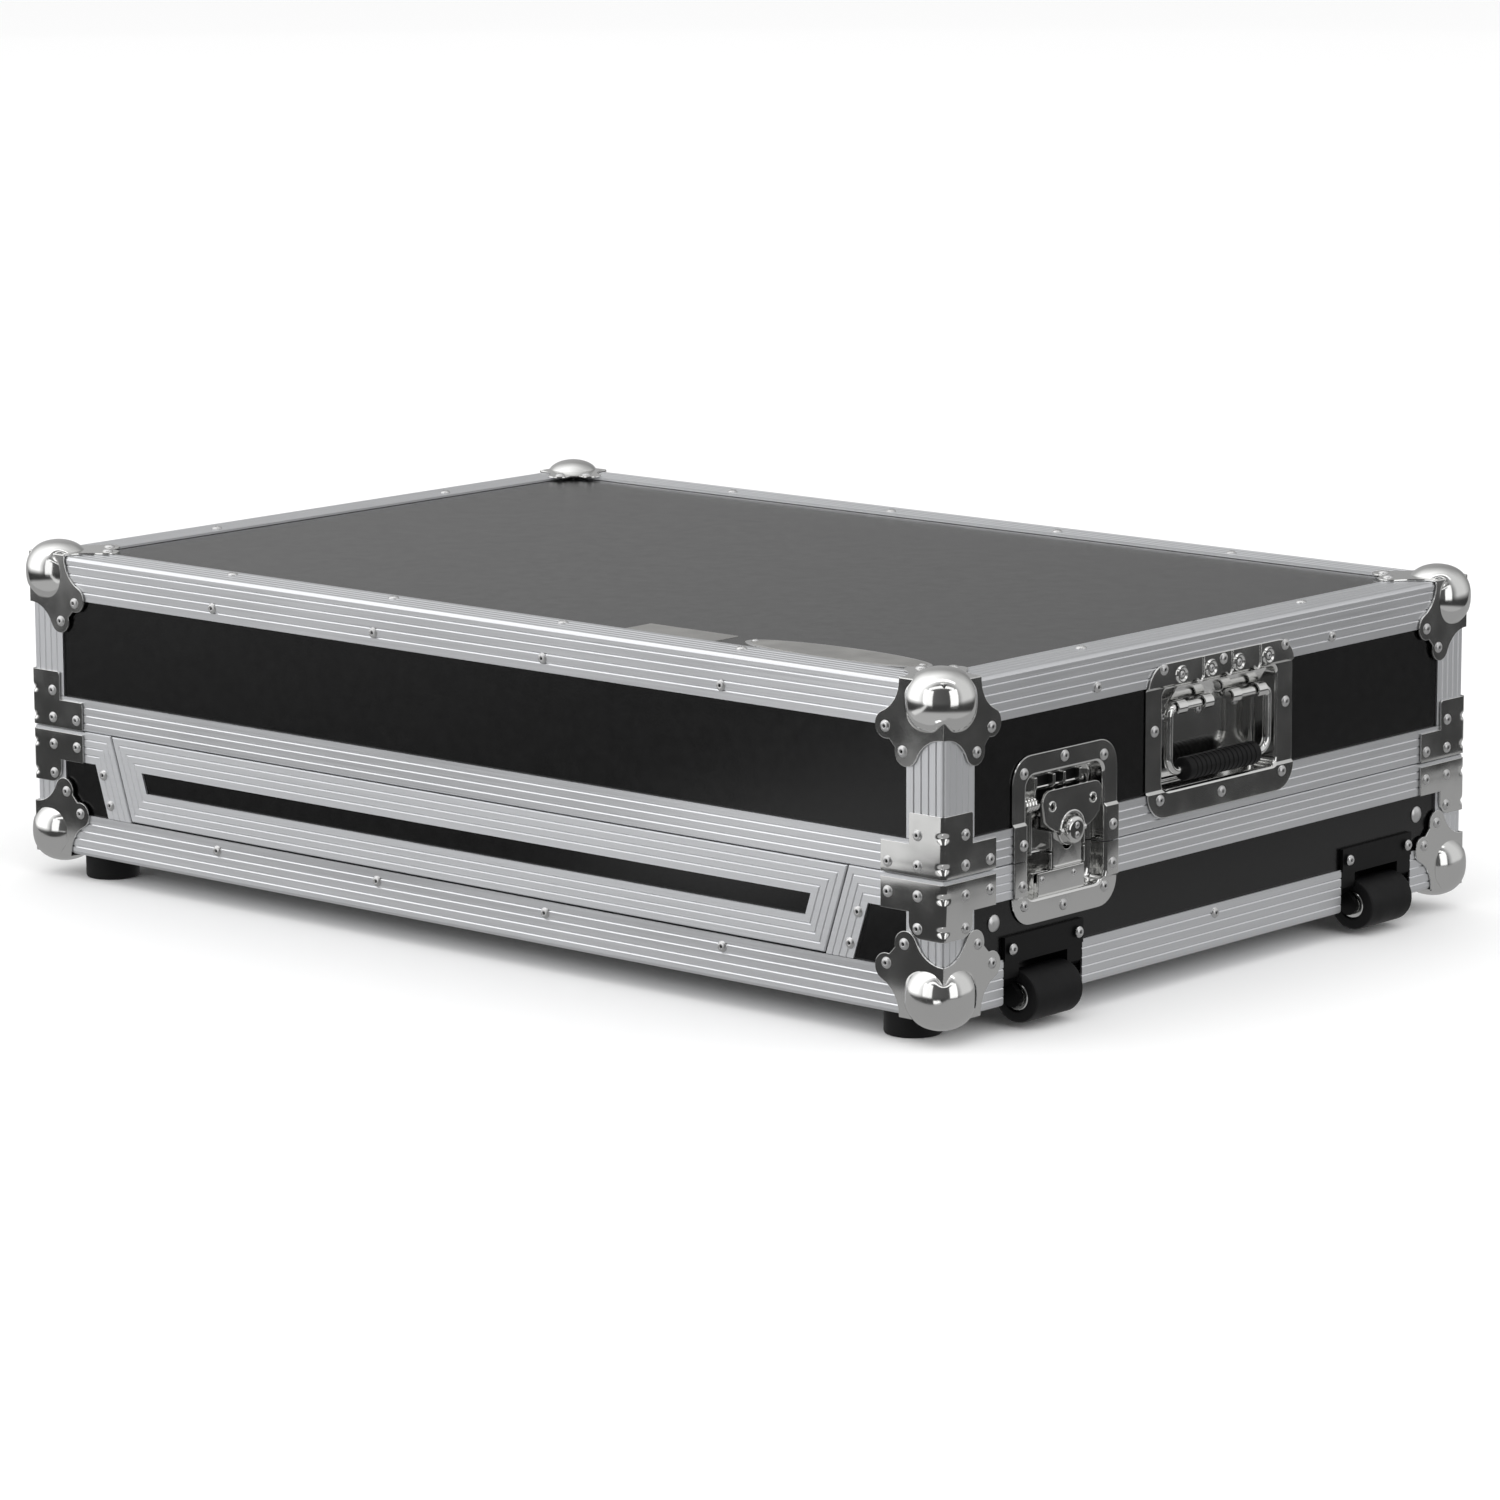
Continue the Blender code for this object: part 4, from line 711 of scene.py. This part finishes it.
def coil(radius, wire, turns, pitch):
    """A spring wound about Y from the origin on."""
    steps = 12
    path = []
    for step in range(turns * steps + 1):
        angle = math.tau * step / steps
        path.append((radius * math.cos(angle), pitch * step / steps, radius * math.sin(angle)))
    return tube(path, wire, (0, 1, 0), 8)


def in_row(*places):
    """Places at these distances along Y."""
    return [at(0, y * MM, 0) for y in places]


def latch_half(sizes, above):
    """What both shares of the latch have: the sheet, the hollow's dark back, two guides and the rivets."""
    floor = -LATCH_DEPTH / MM
    back_low, back_high, guide_low, guide_high = (0, 13.2, 0.6, 13.5) if above else (-11.2, 0, -11.2, -0.6)
    piece = Piece("chrome")
    piece.add(latch_sheet(above))
    piece.add(block((floor - 3.6, -22.2, back_low), (floor - 3.1, -7.8, back_high)), finish="plastic")
    piece.add(block((floor - 1, -1.1, guide_low), (-4.6, 1.1, guide_high), 0.6), *in_row(-8.8, 24.8))
    piece.rivet(sizes, [on_sheet(y, z, LATCH_STEPS) for y, z in LATCH_RIVETS if (z > 0) == above])
    return piece, floor


def latch_dish(sizes):
    """The lid's share of the latch, with the mechanism that stands in it."""
    piece, floor = latch_half(sizes, True)
    piece.add(block((floor - 1, -5.5, 14), (-7, 23.5, 33), 1.2))
    piece.add(block((floor - 1, -20, 33), (floor + 0.4, 30, 49), 0.2), finish="plastic")
    piece.add(block((floor - 1, -1.4, 32), (floor + 5.2, 1.4, 49.8), 0.8), *in_row(-21.5, -3, 7.5, 24))
    piece.add(block((floor - 1, -21.5, 40.5), (floor + 3, 30, 43.2), 0.8))
    piece.add(coil(0.004, 0.001, 4, 0.003), at(-0.007, -0.0355, 0.0335))
    pin = [(0, 0), (1.9, 0), (2.4, 0.5), (2.4, 13), (1.9, 13.5), (0, 13.5)]
    piece.add(lathe(pin, 14), at(-0.007, -0.0215, 0.0335) @ ALONG_Y)
    piece.add(block((floor - 1, -1.2, 0.6), (-6.2, 1.2, 29), 0.6), *in_row(-27.5, 24.5))
    return piece


def latch_keeper(sizes):
    """The base's share of the latch, with the keeper that the hook draws on."""
    piece, floor = latch_half(sizes, False)
    low, top = -26.2, -11.5
    piece.add(block((floor - 0.6, -23.5, low), (-7, 23.5, top), 1))
    piece.add(block((-7.2, -23.5, low), (-4.5, 23.5, -18), 0.6))
    piece.add(block((-4.8, -23.5, low), (-3.3, 23.5, top), 0.6))
    piece.rivet(sizes, [at(-0.0033, y, -0.016) @ UPRIGHT for y in (-0.0195, 0.0127)], 0.60)
    return piece


def latch_cam(sizes):
    """The turning boss about its own axis: a shaft, a washer and a domed disc with two small rivets."""
    piece = Piece("chrome")
    shaft = [(0, -11.7), (5, -11.7), (5, -4.8), (10, -4.8), (10.4, -4.4), (10.4, -3.8), (10, -3.4), (0, -3.4)]
    piece.add(lathe(shaft, 40), UPRIGHT)
    disc = [(0, -3.6), (8.6, -3.6), (8.8, -3.3), (8.8, 1.4), (8.3, 2.2), (7.2, 2.4), (6.6, 2.9), (5.8, 3),
            (0, 3)]
    piece.add(lathe(disc, 40), UPRIGHT)
    piece.rivet(sizes, [at(0.0028, 0, z) @ UPRIGHT for z in (-0.0031, 0.0031)], 0.62)
    pin = [(0, -12.6), (0.9, -12.6), (1.2, -12.3), (1.2, 12.3), (0.9, 12.6), (0, 12.6)]
    piece.add(lathe(pin, 12), at(FOLD_X, 0, 0) @ ALONG_Y)
    return piece


def latch_wing():
    """The heart-shaped wing about its fold axis, with two eyes and a bead round its slot."""
    inner, neck, foot_z, half, top, round_off = 0.0094, 0.0129, -0.0004, 0.0300, 0.0283, 0.0075
    eye_y, eye_z, eye_radius, half_sheet = 0.0206, 0.0176, 0.0026, 0.00075
    right = [(neck, foot_z), (0.0175, 0.0012), (0.0235, 0.0045), (0.0278, 0.0085)]
    right += arc(half - round_off, top - round_off, round_off, -18, 90, 9)
    slot = arc(0, 0, 0.01085, 150, 30, 12)
    outline = right + [(-y, z) for y, z in reversed(right)] + [(-inner, foot_z)] + slot + [(inner, foot_z)]
    eyes = [oval(y, eye_z, eye_radius, eye_radius, 16) for y in (-eye_y, eye_y)]
    piece = Piece("chrome")
    piece.add(slab(outline, -half_sheet, half_sheet, 0.0004, eyes), UPRIGHT)
    bead = [(0.00065, y, z) for y, z in arc(0, 0, 0.0122, 170, 10, 20)]
    piece.add(tube(bead, 0.0006, (1, 0, 0), 8))
    eyelet = [(2.5, 0), (3.6, 0), (3.5, 0.5), (3.1, 0.8), (2.7, 0.6)]
    piece.add(lathe(eyelet, 20), *[at(0.0007, y, eye_z) @ UPRIGHT for y in (-eye_y, eye_y)])
    knuckle = [(1.3, 0), (2, 0), (2.2, 0.3), (2.2, 3.2), (2, 3.5), (1.3, 3.5)]
    piece.add(lathe(knuckle, 16), at(0, -inner, 0) @ ALONG_Y, at(0, inner + 0.0035, 0) @ ALONG_Y)
    return piece


def latch_hook():
    """The draw plate about the cam's axis, with the lip that catches the keeper."""
    piece = Piece("chrome")
    slot = arc(0, 0, 0.0053, 0, 180, 12) + arc(0, -0.008, 0.0053, 180, 360, 12)
    outline = rounded(-0.0145, 0.0145, -0.0285, 0.008, 0.002, 5)
    piece.add(slab(outline, -0.0065, -0.005, 0.0003, [slot]), UPRIGHT)
    piece.add(block((-5.2, -14, -23.6), (-4, 14, -22.2), 0.5))
    return piece


# The handles


def handle_dish(sizes):
    """The handle's plate and dish, and the flap whose four curls hold the bail."""
    piece = Piece("chrome")
    piece.add(thickened(pressed_sheet(HANDLE_PLATE, HANDLE_OPENING, HANDLE_DEPTH, HANDLE_STEPS)))
    flap = mm((1.2, 33.7), (-0.6, 33.7), (-10, 19.6), (-8.9, 18.4))
    piece.add(slab(flap, -0.0478, 0.0478, 0.0003), ALONG_Y)
    hug = arc(PIVOT.x, PIVOT.z, 0.0049, -50, 215, 16) + arc(PIVOT.x, PIVOT.z, 0.0037, 215, -50, 16)
    tab = mm((-6, 21.5), (-10, 20.5), (-10, 19), (-5.8, 17.8))
    for outline in (hug, tab):
        piece.add(slab(outline, -0.0045, 0.0045, 0.0003), *[at(0, y, 0) @ ALONG_Y for y in CURLS])
    piece.rivet(sizes, [on_sheet(y, z, HANDLE_STEPS) for y, z in HANDLE_RIVETS])
    row = 0.0415
    cup = [(0, 0.2), (3.4, 0.2), (4.6, 1.2), (5.4, 1.2), (6, 0), (0, -0.3)]
    cups = [on_sheet(y, row, HANDLE_STEPS) for y in (-0.0437, -0.0122, 0.0175, 0.0496)]
    piece.add(lathe(cup, 24), *cups, finish="steel")
    piece.rivet(sizes, cups, 0.66)
    hook = [(0, 0.0022, 0.0085)] + [(0, y, z) for y, z in arc(-0.0013, -0.0035, 0.0035, 0, -150, 8)]
    hooks = [at(sheet_level(row, HANDLE_STEPS) - 0.0001, y, row) for y in (-0.023, 0.008, 0.0385)]
    piece.add(tube(hook, 0.0009, (1, 0, 0), 8), *hooks, finish="steel")
    back = [at(0.0004 - HANDLE_DEPTH, y, 0.0104) @ UPRIGHT for y in (-0.037, 0.0017, 0.0418)]
    piece.rivet(sizes, back, 0.8)
    return piece


def handle_bail(sizes):
    """The bent wire about its pivot axis, and the ribbed rubber grip on its lower bar."""
    wire, half, drop, upper_bend, lower_bend = 0.003, 0.053, 0.0415, 0.005, 0.009
    left = [(-0.010, 0.0), (-0.030, 0.0)] + arc(upper_bend - half, -upper_bend, upper_bend, 90, 180, 8)
    left += arc(lower_bend - half, lower_bend - drop, lower_bend, 180, 270, 10)
    path = left + [(-y, z) for y, z in reversed(left)]
    piece = Piece("steel")
    piece.add(tube([(0, y, z) for y, z in path], wire, (1, 0, 0), 16))
    radius, groove, length, ribs = 7.8, 7.3, 38.5, sizes.grip_ribs
    start = [(0, -length), (6.2, -length), (7.4, 0.6 - length), (radius, 1.8 - length)]
    profile = list(start)
    for rib in range(1, ribs):
        middle = length * (2 * rib / ribs - 1) * 0.94
        profile += [(radius, middle - 0.7), (groove, middle - 0.3), (groove, middle + 0.3),
                    (radius, middle + 0.7)]
    profile += [(across, -up) for across, up in reversed(start)]
    piece.add(lathe(profile, 32), at(0, 0, -drop) @ ALONG_Y, finish="rubber")
    return piece


# The wheels, the feet, the foam and the rivets


def wheel():
    """A wheel about its own axle, along Y: a solid tyre, its hub and a bearing at each end."""
    piece = Piece("rubber")
    half, radius = 24, 17.2
    start = [(0, -22.2), (9.8, -22.2), (10, 0.2 - half), (10.4, -half), (15.2, -half), (16.6, -23.3),
             (radius, -21.8)]
    piece.add(lathe(start + [(across, -up) for across, up in reversed(start)], 56), ALONG_Y)
    ends = [at(0, -0.0224, 0) @ ALONG_Y, at(0, 0.0224, 0) @ turned("X", -90)]
    bearing = [(6, -0.5), (9.2, -0.5), (9.2, 0.6), (8.6, 1), (6.6, 1), (6, 0.6)]
    piece.add(lathe(bearing, 40), *ends, finish="steel")
    cap = [(0, 1.6), (3, 1.5), (4, 0.9), (4.2, -0.4), (0, -0.4)]
    piece.add(lathe(cap, 24), *ends, finish="steel")
    return piece


def foot(sizes):
    """A rubber foot about its own axis, with the screw that holds it in its recess."""
    piece = Piece("rubber")
    profile = [(0, 8), (6.4, 8), (7, 7.4), (7, 1.2), (7.8, 0.2), (8.8, 0), (17.2, 0), (18.4, 0.4),
               (18.9, 1.6), (19, 17.2), (18.7, 17.7), (0, 17.7)]
    piece.add(lathe(profile, 48))
    piece.add(rivet_head(sizes, 1.4), at(0, 0, 0.008) @ turned("X", 180), finish="steel")
    return piece


def foam(node, edge):
    """A foam lining after its CAD solid, its edges softened."""
    shape = bmesh.new()
    shape.from_mesh(NODES[node].data)
    bmesh.ops.remove_doubles(shape, verts=shape.verts, dist=SAME_POINT)
    bmesh.ops.dissolve_limit(shape, angle_limit=math.radians(2), verts=shape.verts, edges=shape.edges)
    sharp = [item for item in shape.edges if len(item.link_faces) == 2 and item.calc_face_angle() > 0.5]
    piece = Piece("foam")
    piece.add(outward(eased(shape, sharp, edge, 3)))
    return piece


def rivet_places():
    """Where the rivets of the rails, the hinges and the wheel housings stand, as (body, place) pairs."""
    inset, hinge, leaf = 0.020, 0.230, 0.0012
    spots = []
    for end in (-1, 1):
        for x in (-0.234, -0.078, 0.078, 0.234):
            spots += [("lid", (x, end * WALL_Y, 0.210), (0, end, 0)),
                      ("case", (x, end * WALL_Y, 0.040), (0, end, 0)),
                      ("lid", (x, end * (WALL_Y - inset), TOP), (0, 0, 1)),
                      ("case", (x, end * (WALL_Y - inset), BOTTOM), (0, 0, -1))]
    for side in (-1, 1):
        for y in (-0.118, 0.118):
            spots += [("lid", (side * WALL_X, y * 1.068, 0.209), (side, 0, 0)),
                      ("lid", (side * (WALL_X - inset), y, TOP), (0, 0, 1))]
        spots.append(("case", (side * WALL_X, 0, 0.042), (side, 0, 0)))
        spots += [("case", (side * x, -WALL_Y, z), (0, -1, 0)) for x, z in ((0.3485, 0.079), (0.342, 0.058))]
        for off in (-0.020, 0.0, 0.020):
            for body, up in (("lid", 0.014), ("case", -0.014)):
                spots.append((body, (side * hinge + off, WALL_Y + leaf, SEAM + up), (0, 1, 0)))
    for y in (-0.180, 0.180):
        for off in (-0.0334, 0.0334):
            spots.append(("case", (WALL_X + 0.0028, y + off, BOTTOM + 0.036), (1, 0, 0)))
    return [(body, facing(point, normal)) for body, point, normal in spots]


# The steps


DRESSED = (("laminate", ("panel",)),
           ("aluminium", ("frame", "channel_rear", "channel_front", "between_wheels")),
           ("door aluminium", ("jamb_left", "jamb_right", "door_frame")),
           ("plastic", ("housing_front", "housing_rear")))


class FLIGHTCASE_OT_finishes(bpy.types.Operator):
    """Make the finishes and dress the modelled panels, rails and housings in them"""

    bl_idname = "flightcase.finishes"
    bl_label = "Finishes"

    def execute(self, context):
        colours = context.scene.flightcase_colours
        laminate_finish(colours)
        aluminium_finish("case aluminium", colours, 0.0)
        aluminium_finish("case door aluminium", colours, 0.16)
        metal_finish("case chrome", colours.chrome, 0.09, 0.02)
        metal_finish("case rivet", colours.rivet, 0.30, 0.02)
        metal_finish("case steel", colours.chrome, 0.13, 0.03)
        metal_finish("case plate", colours.plate, 0.38, 0.02)
        moulded_finish("case rubber", colours.rubber, 0.52, 500.0, 0.00008)
        moulded_finish("case plastic", colours.plastic, 0.40, 1600.0, 0.00006)
        moulded_finish("case foam", colours.foam, 0.95, 700.0, 0.0004)
        for name, node in NODES.items():
            for finish, endings in DRESSED:
                if name.endswith(endings):
                    node.data.materials.clear()
                    node.data.materials.append(worn(finish))
        return {"FINISHED"}


class FLIGHTCASE_OT_rivets(bpy.types.Operator):
    """Set the rivets along the rails, on the hinges and round the wheels"""

    bl_idname = "flightcase.rivets"
    bl_label = "Rivets"

    def execute(self, context):
        sizes = context.scene.flightcase_sizes
        places = rivet_places()
        for body in ("lid", "case"):
            piece = Piece("rivet")
            piece.rivet(sizes, [place for rider, place in places if rider == body])
            if body == "case":
                bolts = [facing((WALL_X - PANEL_FACE, y, BOTTOM + 0.0545), (1, 0, 0))
                         for y in (-0.228, 0.228)]
                piece.add(bolt(sizes), *bolts)
            piece.put(f"{body}_rivets", body, "steel")
        return {"FINISHED"}


class FLIGHTCASE_OT_corners(bpy.types.Operator):
    """Put a ball corner and a brace on each of the case's corners, above and below the seam"""

    bl_idname = "flightcase.corners"
    bl_label = "Corners and braces"

    def execute(self, context):
        sizes = context.scene.flightcase_sizes
        turns = {(1, 1): 0, (-1, 1): 90, (-1, -1): 180, (1, -1): 270}
        halves = (("lid", "lid", 1, TOP, SEAM + SEAM_GAP / 2, 0.040, 0.002),
                  ("base", "case", -1, BOTTOM, SEAM - SEAM_GAP / 2 - 0.0025, 0.0365, 0.010))
        for word, (side, end) in CORNERS.items():
            for half, body, up, face, level, height, corner in halves:
                spot = at(side * WALL_X, end * WALL_Y, face)
                ball = ball_corner(sizes).moved(spot @ corner_turn(side, end, up))
                ball.put(f"{half}_corner_{word}", body, "chrome", [f"{half}_ball_corner_{word}"])
                spot = at(side * WALL_X, end * WALL_Y, level) @ turned("Z", turns[side, end])
                made = brace(sizes, up, height, corner).moved(spot)
                made.put(f"{half}_bracket_{word}", body, "chrome", [f"{half}_brace_{word}"])
        return {"FINISHED"}


class FLIGHTCASE_OT_latches(bpy.types.Operator):
    """Build the recessed twist latch at each end"""

    bl_idname = "flightcase.latches"
    bl_label = "Latches"

    def execute(self, context):
        sizes = context.scene.flightcase_sizes
        for word, side in SIDES.items():
            place = end_place(side, LATCH_Y, SEAM)
            axis = place @ Matrix.Translation(CAM)
            fold = axis @ at(FOLD_X, 0, 0)
            for made, name, node, body, spot in (
                    (latch_dish(sizes), "pressing", "dish", "lid", place),
                    (latch_keeper(sizes), "strike", "keeper", "case", place),
                    (latch_cam(sizes), "boss", "cam", f"{word}_latch_cam", axis),
                    (latch_wing(), "turn", "wing", f"{word}_latch_wing", fold),
                    (latch_hook(), "draw_plate", "hook", f"{word}_latch_hook", axis)):
                made.moved(spot).put(f"latch_{word}_{name}", body, "chrome", [f"latch_{word}_{node}"])
        return {"FINISHED"}


class FLIGHTCASE_OT_handles(bpy.types.Operator):
    """Build the recessed lifting handle at each end"""

    bl_idname = "flightcase.handles"
    bl_label = "Handles"

    def execute(self, context):
        sizes = context.scene.flightcase_sizes
        for word, side in SIDES.items():
            place = end_place(side, HANDLE_Y, SEAM + HANDLE_Z)
            dish = handle_dish(sizes).moved(place)
            dish.put(f"handle_{word}_pressing", "lid", "chrome", [f"handle_{word}_dish"])
            bail = handle_bail(sizes).moved(place @ Matrix.Translation(PIVOT))
            bail.put(f"handle_{word}_bar", f"{word}_bail", "steel", [f"handle_{word}_bail"])
        return {"FINISHED"}


class FLIGHTCASE_OT_running_gear(bpy.types.Operator):
    """Put in the two wheels and the four rubber feet"""

    bl_idname = "flightcase.running_gear"
    bl_label = "Wheels and feet"

    def execute(self, context):
        sizes = context.scene.flightcase_sizes
        for word in ("front", "rear"):
            low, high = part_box(f"wheel_{word}")
            made = wheel().moved(Matrix.Translation((Vector(low) + Vector(high)) / 2))
            made.put(f"tyre_{word}", f"{word}_wheel", "rubber", [f"wheel_{word}"])
        for word in CORNERS:
            low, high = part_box(f"foot_{word}")
            middle = (Vector(low) + Vector(high)) / 2
            made = foot(sizes).moved(at(middle.x, middle.y, 0))
            made.put(f"rubber_foot_{word}", "case", "rubber", [f"foot_{word}"])
        return {"FINISHED"}


class FLIGHTCASE_OT_foam(bpy.types.Operator):
    """Line the lid and the base with foam"""

    bl_idname = "flightcase.foam"
    bl_label = "Foam"

    def execute(self, context):
        tray = foam("base_foam_tray", 0.0012).put("foam_tray", "case", "foam", ["base_foam_tray"], 60)
        pad = foam("lid_foam_pad", 0.0030).put("foam_pad", "lid", "foam", ["lid_foam_pad"], 60)
        return {"FINISHED"}


class FLIGHTCASE_OT_plates(bpy.types.Operator):
    """Lay the blank label and the blank oval badge on the top, beside the front rail"""

    bl_idname = "flightcase.plates"
    bl_label = "Blank plates"

    def execute(self, context):
        sizes = context.scene.flightcase_sizes
        face = TOP - PANEL_FACE
        label = Piece("plate")
        label.add(slab(rounded(0.1175, 0.195, -0.248, -0.217, 0.0015), face, face + 0.0003, 0.0001))
        label.put("blank_label", "lid", "steel")
        badge = Piece("plate")
        middle, long, wide, steps = Vector((0.288, -0.2275)), 0.0765, 0.0205, 96
        outline = oval(middle.x, middle.y, long, wide, steps)
        field = oval(middle.x, middle.y, long - 0.004, wide - 0.0025, steps)
        badge.add(slab(outline, face, face + 0.0008, 0.0003), finish="rivet")
        badge.add(slab(field, face, face + 0.0012, 0.0004))
        badge.rivet(sizes, [at(middle.x + off, middle.y, face + 0.0011) for off in (-0.07, 0.07)], 0.62)
        badge.put("blank_badge", "lid", "steel")
        return {"FINISHED"}


# The stage


# What metal sees of the stage: pale tables, as (name, low corner, high corner, glow), inside pale walls
TABLES = (("table", (-3.0, -0.40), (0.72, 3.0), 0.38),
          ("table_front", (-0.16, -2.0), (0.04, -0.54), 0.88),
          ("table_spot", (0.44, -0.48), (0.53, -0.41), 2.0))
BLACK = (0, 0, 0, 1)
STUDIO_RADIUS = 9.0
# Away from the camera and to its right, so long that the studio's wall is 1 away
BACK = (-0.0738, 0.0831, 0.0)
RIGHT = (0.0831, 0.0738, 0.0)
# Each lamp's name, azimuth (0 is in front, 90 on the right), elevation, distance and size
SOFTBOXES = (("softbox_left", -4, 13, 3.0, (1.6, 2.0)), ("softbox_right", 86, 13, 3.0, (1.5, 2.0)),
             ("overhead_near", 42, 46, 3.2, (5.6, 0.5)), ("overhead_far", 42, 74, 3.2, (5.6, 0.5)))
CAMERA_PLACE = (2.72207, -3.06276, 0.87349)
CAMERA_TURN = (1.384058, 0.004162, 0.723645)


def seen_in_gloss_only(item):
    for ray in ("camera", "diffuse", "transmission", "volume_scatter", "shadow"):
        setattr(item, f"visible_{ray}", False)


def staged(name, data):
    """An object of the stage, which isn't part of the case."""
    made = linked(name, data)
    return made


def sheet_on_stage(name, low, high, height, material):
    low, high = Vector((*low, height)), Vector((*high, height))
    shape = bmesh.new()
    bmesh.ops.create_grid(shape, x_segments=1, y_segments=1, size=0.5)
    bmesh.ops.scale(shape, vec=high - low + Vector((0, 0, 1)), verts=shape.verts)
    bmesh.ops.translate(shape, vec=(low + high) / 2, verts=shape.verts)
    mesh = mesh_of(name, shape)
    mesh.materials.append(material)
    return staged(name, mesh)


def studio_material():
    """What polished metal sees of the studio: pale walls over a dark line where they meet the pale floor."""
    made = Finish("studio walls", BLACK, 1.0)
    level = made.node("ShaderNodeSeparateXYZ", made.place).outputs[2]
    back, right = [made.node("ShaderNodeVectorMath", made.place, way, operation="DOT_PRODUCT").outputs[1]
                   for way in (BACK, RIGHT)]
    wall = made.spread(back, -0.55, -0.18, 0.05, 1.0)
    wall = made.math("MINIMUM", wall, made.spread(back, 0.25, 0.75, 1.0, 0.33))
    wall = made.math("MULTIPLY", wall, made.spread(right, -0.5, 0.5, 1.45, 0.72))
    wall = made.math("MULTIPLY", wall, made.spread(level, -1.15, -0.10, 0.0, 1.0))
    ground = made.spread(level, -3.0, -2.25, 0.5, 0.05)
    made.glow(made.math("ADD", wall, ground))
    return made.material


def softbox(name, azimuth, elevation, distance, size, watts):
    """A rectangular lamp that faces the case."""
    light = bpy.data.lights.new(name, "AREA")
    light.shape = "RECTANGLE"
    light.size, light.size_y = size
    light.energy = watts
    made = staged(name, light)
    turn, rise = math.radians(azimuth), math.radians(elevation)
    way = Vector((math.sin(turn) * math.cos(rise), -math.cos(turn) * math.cos(rise), math.sin(rise)))
    aim = Vector((0, 0, 0.12))
    made.location = aim + way * distance
    made.rotation_euler = (aim - made.location).to_track_quat("-Z", "Y").to_euler()


class FLIGHTCASE_OT_stage(bpy.types.Operator):
    """Set up the floor, the lights, the studio that metal reflects and the camera"""

    bl_idname = "flightcase.stage"
    bl_label = "Stage"

    def execute(self, context):
        scene = context.scene
        stage = scene.flightcase_stage
        pale = Finish("floor", (0.92, 0.92, 0.92, 1), 0.9)
        floor = sheet_on_stage("floor", (-25, -25), (25, 25), 0.0, pale.material)
        floor.visible_glossy = False
        for name, low, high, strength in TABLES:
            bright = Finish(name, BLACK, 0.9)
            bright.glow(strength)
            seen_in_gloss_only(sheet_on_stage(name, low, high, -0.001, bright.material))
        shape = bmesh.new()
        bmesh.ops.create_uvsphere(shape, u_segments=64, v_segments=32, radius=STUDIO_RADIUS)
        bmesh.ops.reverse_faces(shape, faces=shape.faces)
        mesh = mesh_of("studio", shape)
        mesh.materials.append(studio_material())
        seen_in_gloss_only(staged("studio", mesh))
        for settings in SOFTBOXES:
            softbox(*settings, stage.softbox_watts)
        world = bpy.data.worlds.new("studio")
        world.use_nodes = True
        world.node_tree.nodes["Background"].inputs["Color"].default_value = (1, 1, 1, 1)
        world.node_tree.nodes["Background"].inputs["Strength"].default_value = stage.background
        world.cycles_visibility.glossy = False
        scene.world = world
        camera = bpy.data.cameras.new("camera")
        camera.lens = stage.lens
        camera.sensor_width = 36
        camera.clip_end = 100
        made = linked("camera", camera)
        made.location = CAMERA_PLACE
        made.rotation_euler = CAMERA_TURN
        scene.camera = made
        scene.view_settings.view_transform = "Standard"
        return {"FINISHED"}


class FLIGHTCASE_PT_panel(bpy.types.Panel):
    """The case's settings and its steps"""

    bl_idname = "FLIGHTCASE_PT_panel"
    bl_label = "Flight Case"
    bl_space_type = "VIEW_3D"
    bl_region_type = "UI"
    bl_category = "Flight Case"

    def draw(self, context):
        for settings in [getattr(context.scene, name) for name in SETTINGS]:
            box = self.layout.box()
            for name in settings.bl_rna.properties.keys():
                if name not in {"rna_type", "name"}:
                    box.prop(settings, name)
        for step in STEPS:
            self.layout.operator(step.bl_idname)


STEPS = (FLIGHTCASE_OT_finishes, FLIGHTCASE_OT_rivets, FLIGHTCASE_OT_corners, FLIGHTCASE_OT_latches,
         FLIGHTCASE_OT_handles, FLIGHTCASE_OT_running_gear, FLIGHTCASE_OT_foam, FLIGHTCASE_OT_plates,
         FLIGHTCASE_OT_stage)
SETTINGS = {"flightcase_colours": CaseColours, "flightcase_sizes": HardwareSizes,
            "flightcase_stage": StageSettings}
CLASSES = (*SETTINGS.values(), *STEPS, FLIGHTCASE_PT_panel)


def register():
    for item in CLASSES:
        bpy.utils.register_class(item)
    for name, settings in SETTINGS.items():
        setattr(bpy.types.Scene, name, PointerProperty(type=settings))


def unregister():
    for name in SETTINGS:
        delattr(bpy.types.Scene, name)
    for item in reversed(CLASSES):
        bpy.utils.unregister_class(item)


def main():
    register()
    bpy.ops.flightcase.finishes()
    bpy.ops.flightcase.rivets()
    bpy.ops.flightcase.corners()
    bpy.ops.flightcase.latches()
    bpy.ops.flightcase.handles()
    bpy.ops.flightcase.running_gear()
    bpy.ops.flightcase.foam()
    bpy.ops.flightcase.plates()
    bpy.ops.flightcase.stage()
    bpy.context.view_layer.update()


if __name__ == "__main__":
    main()
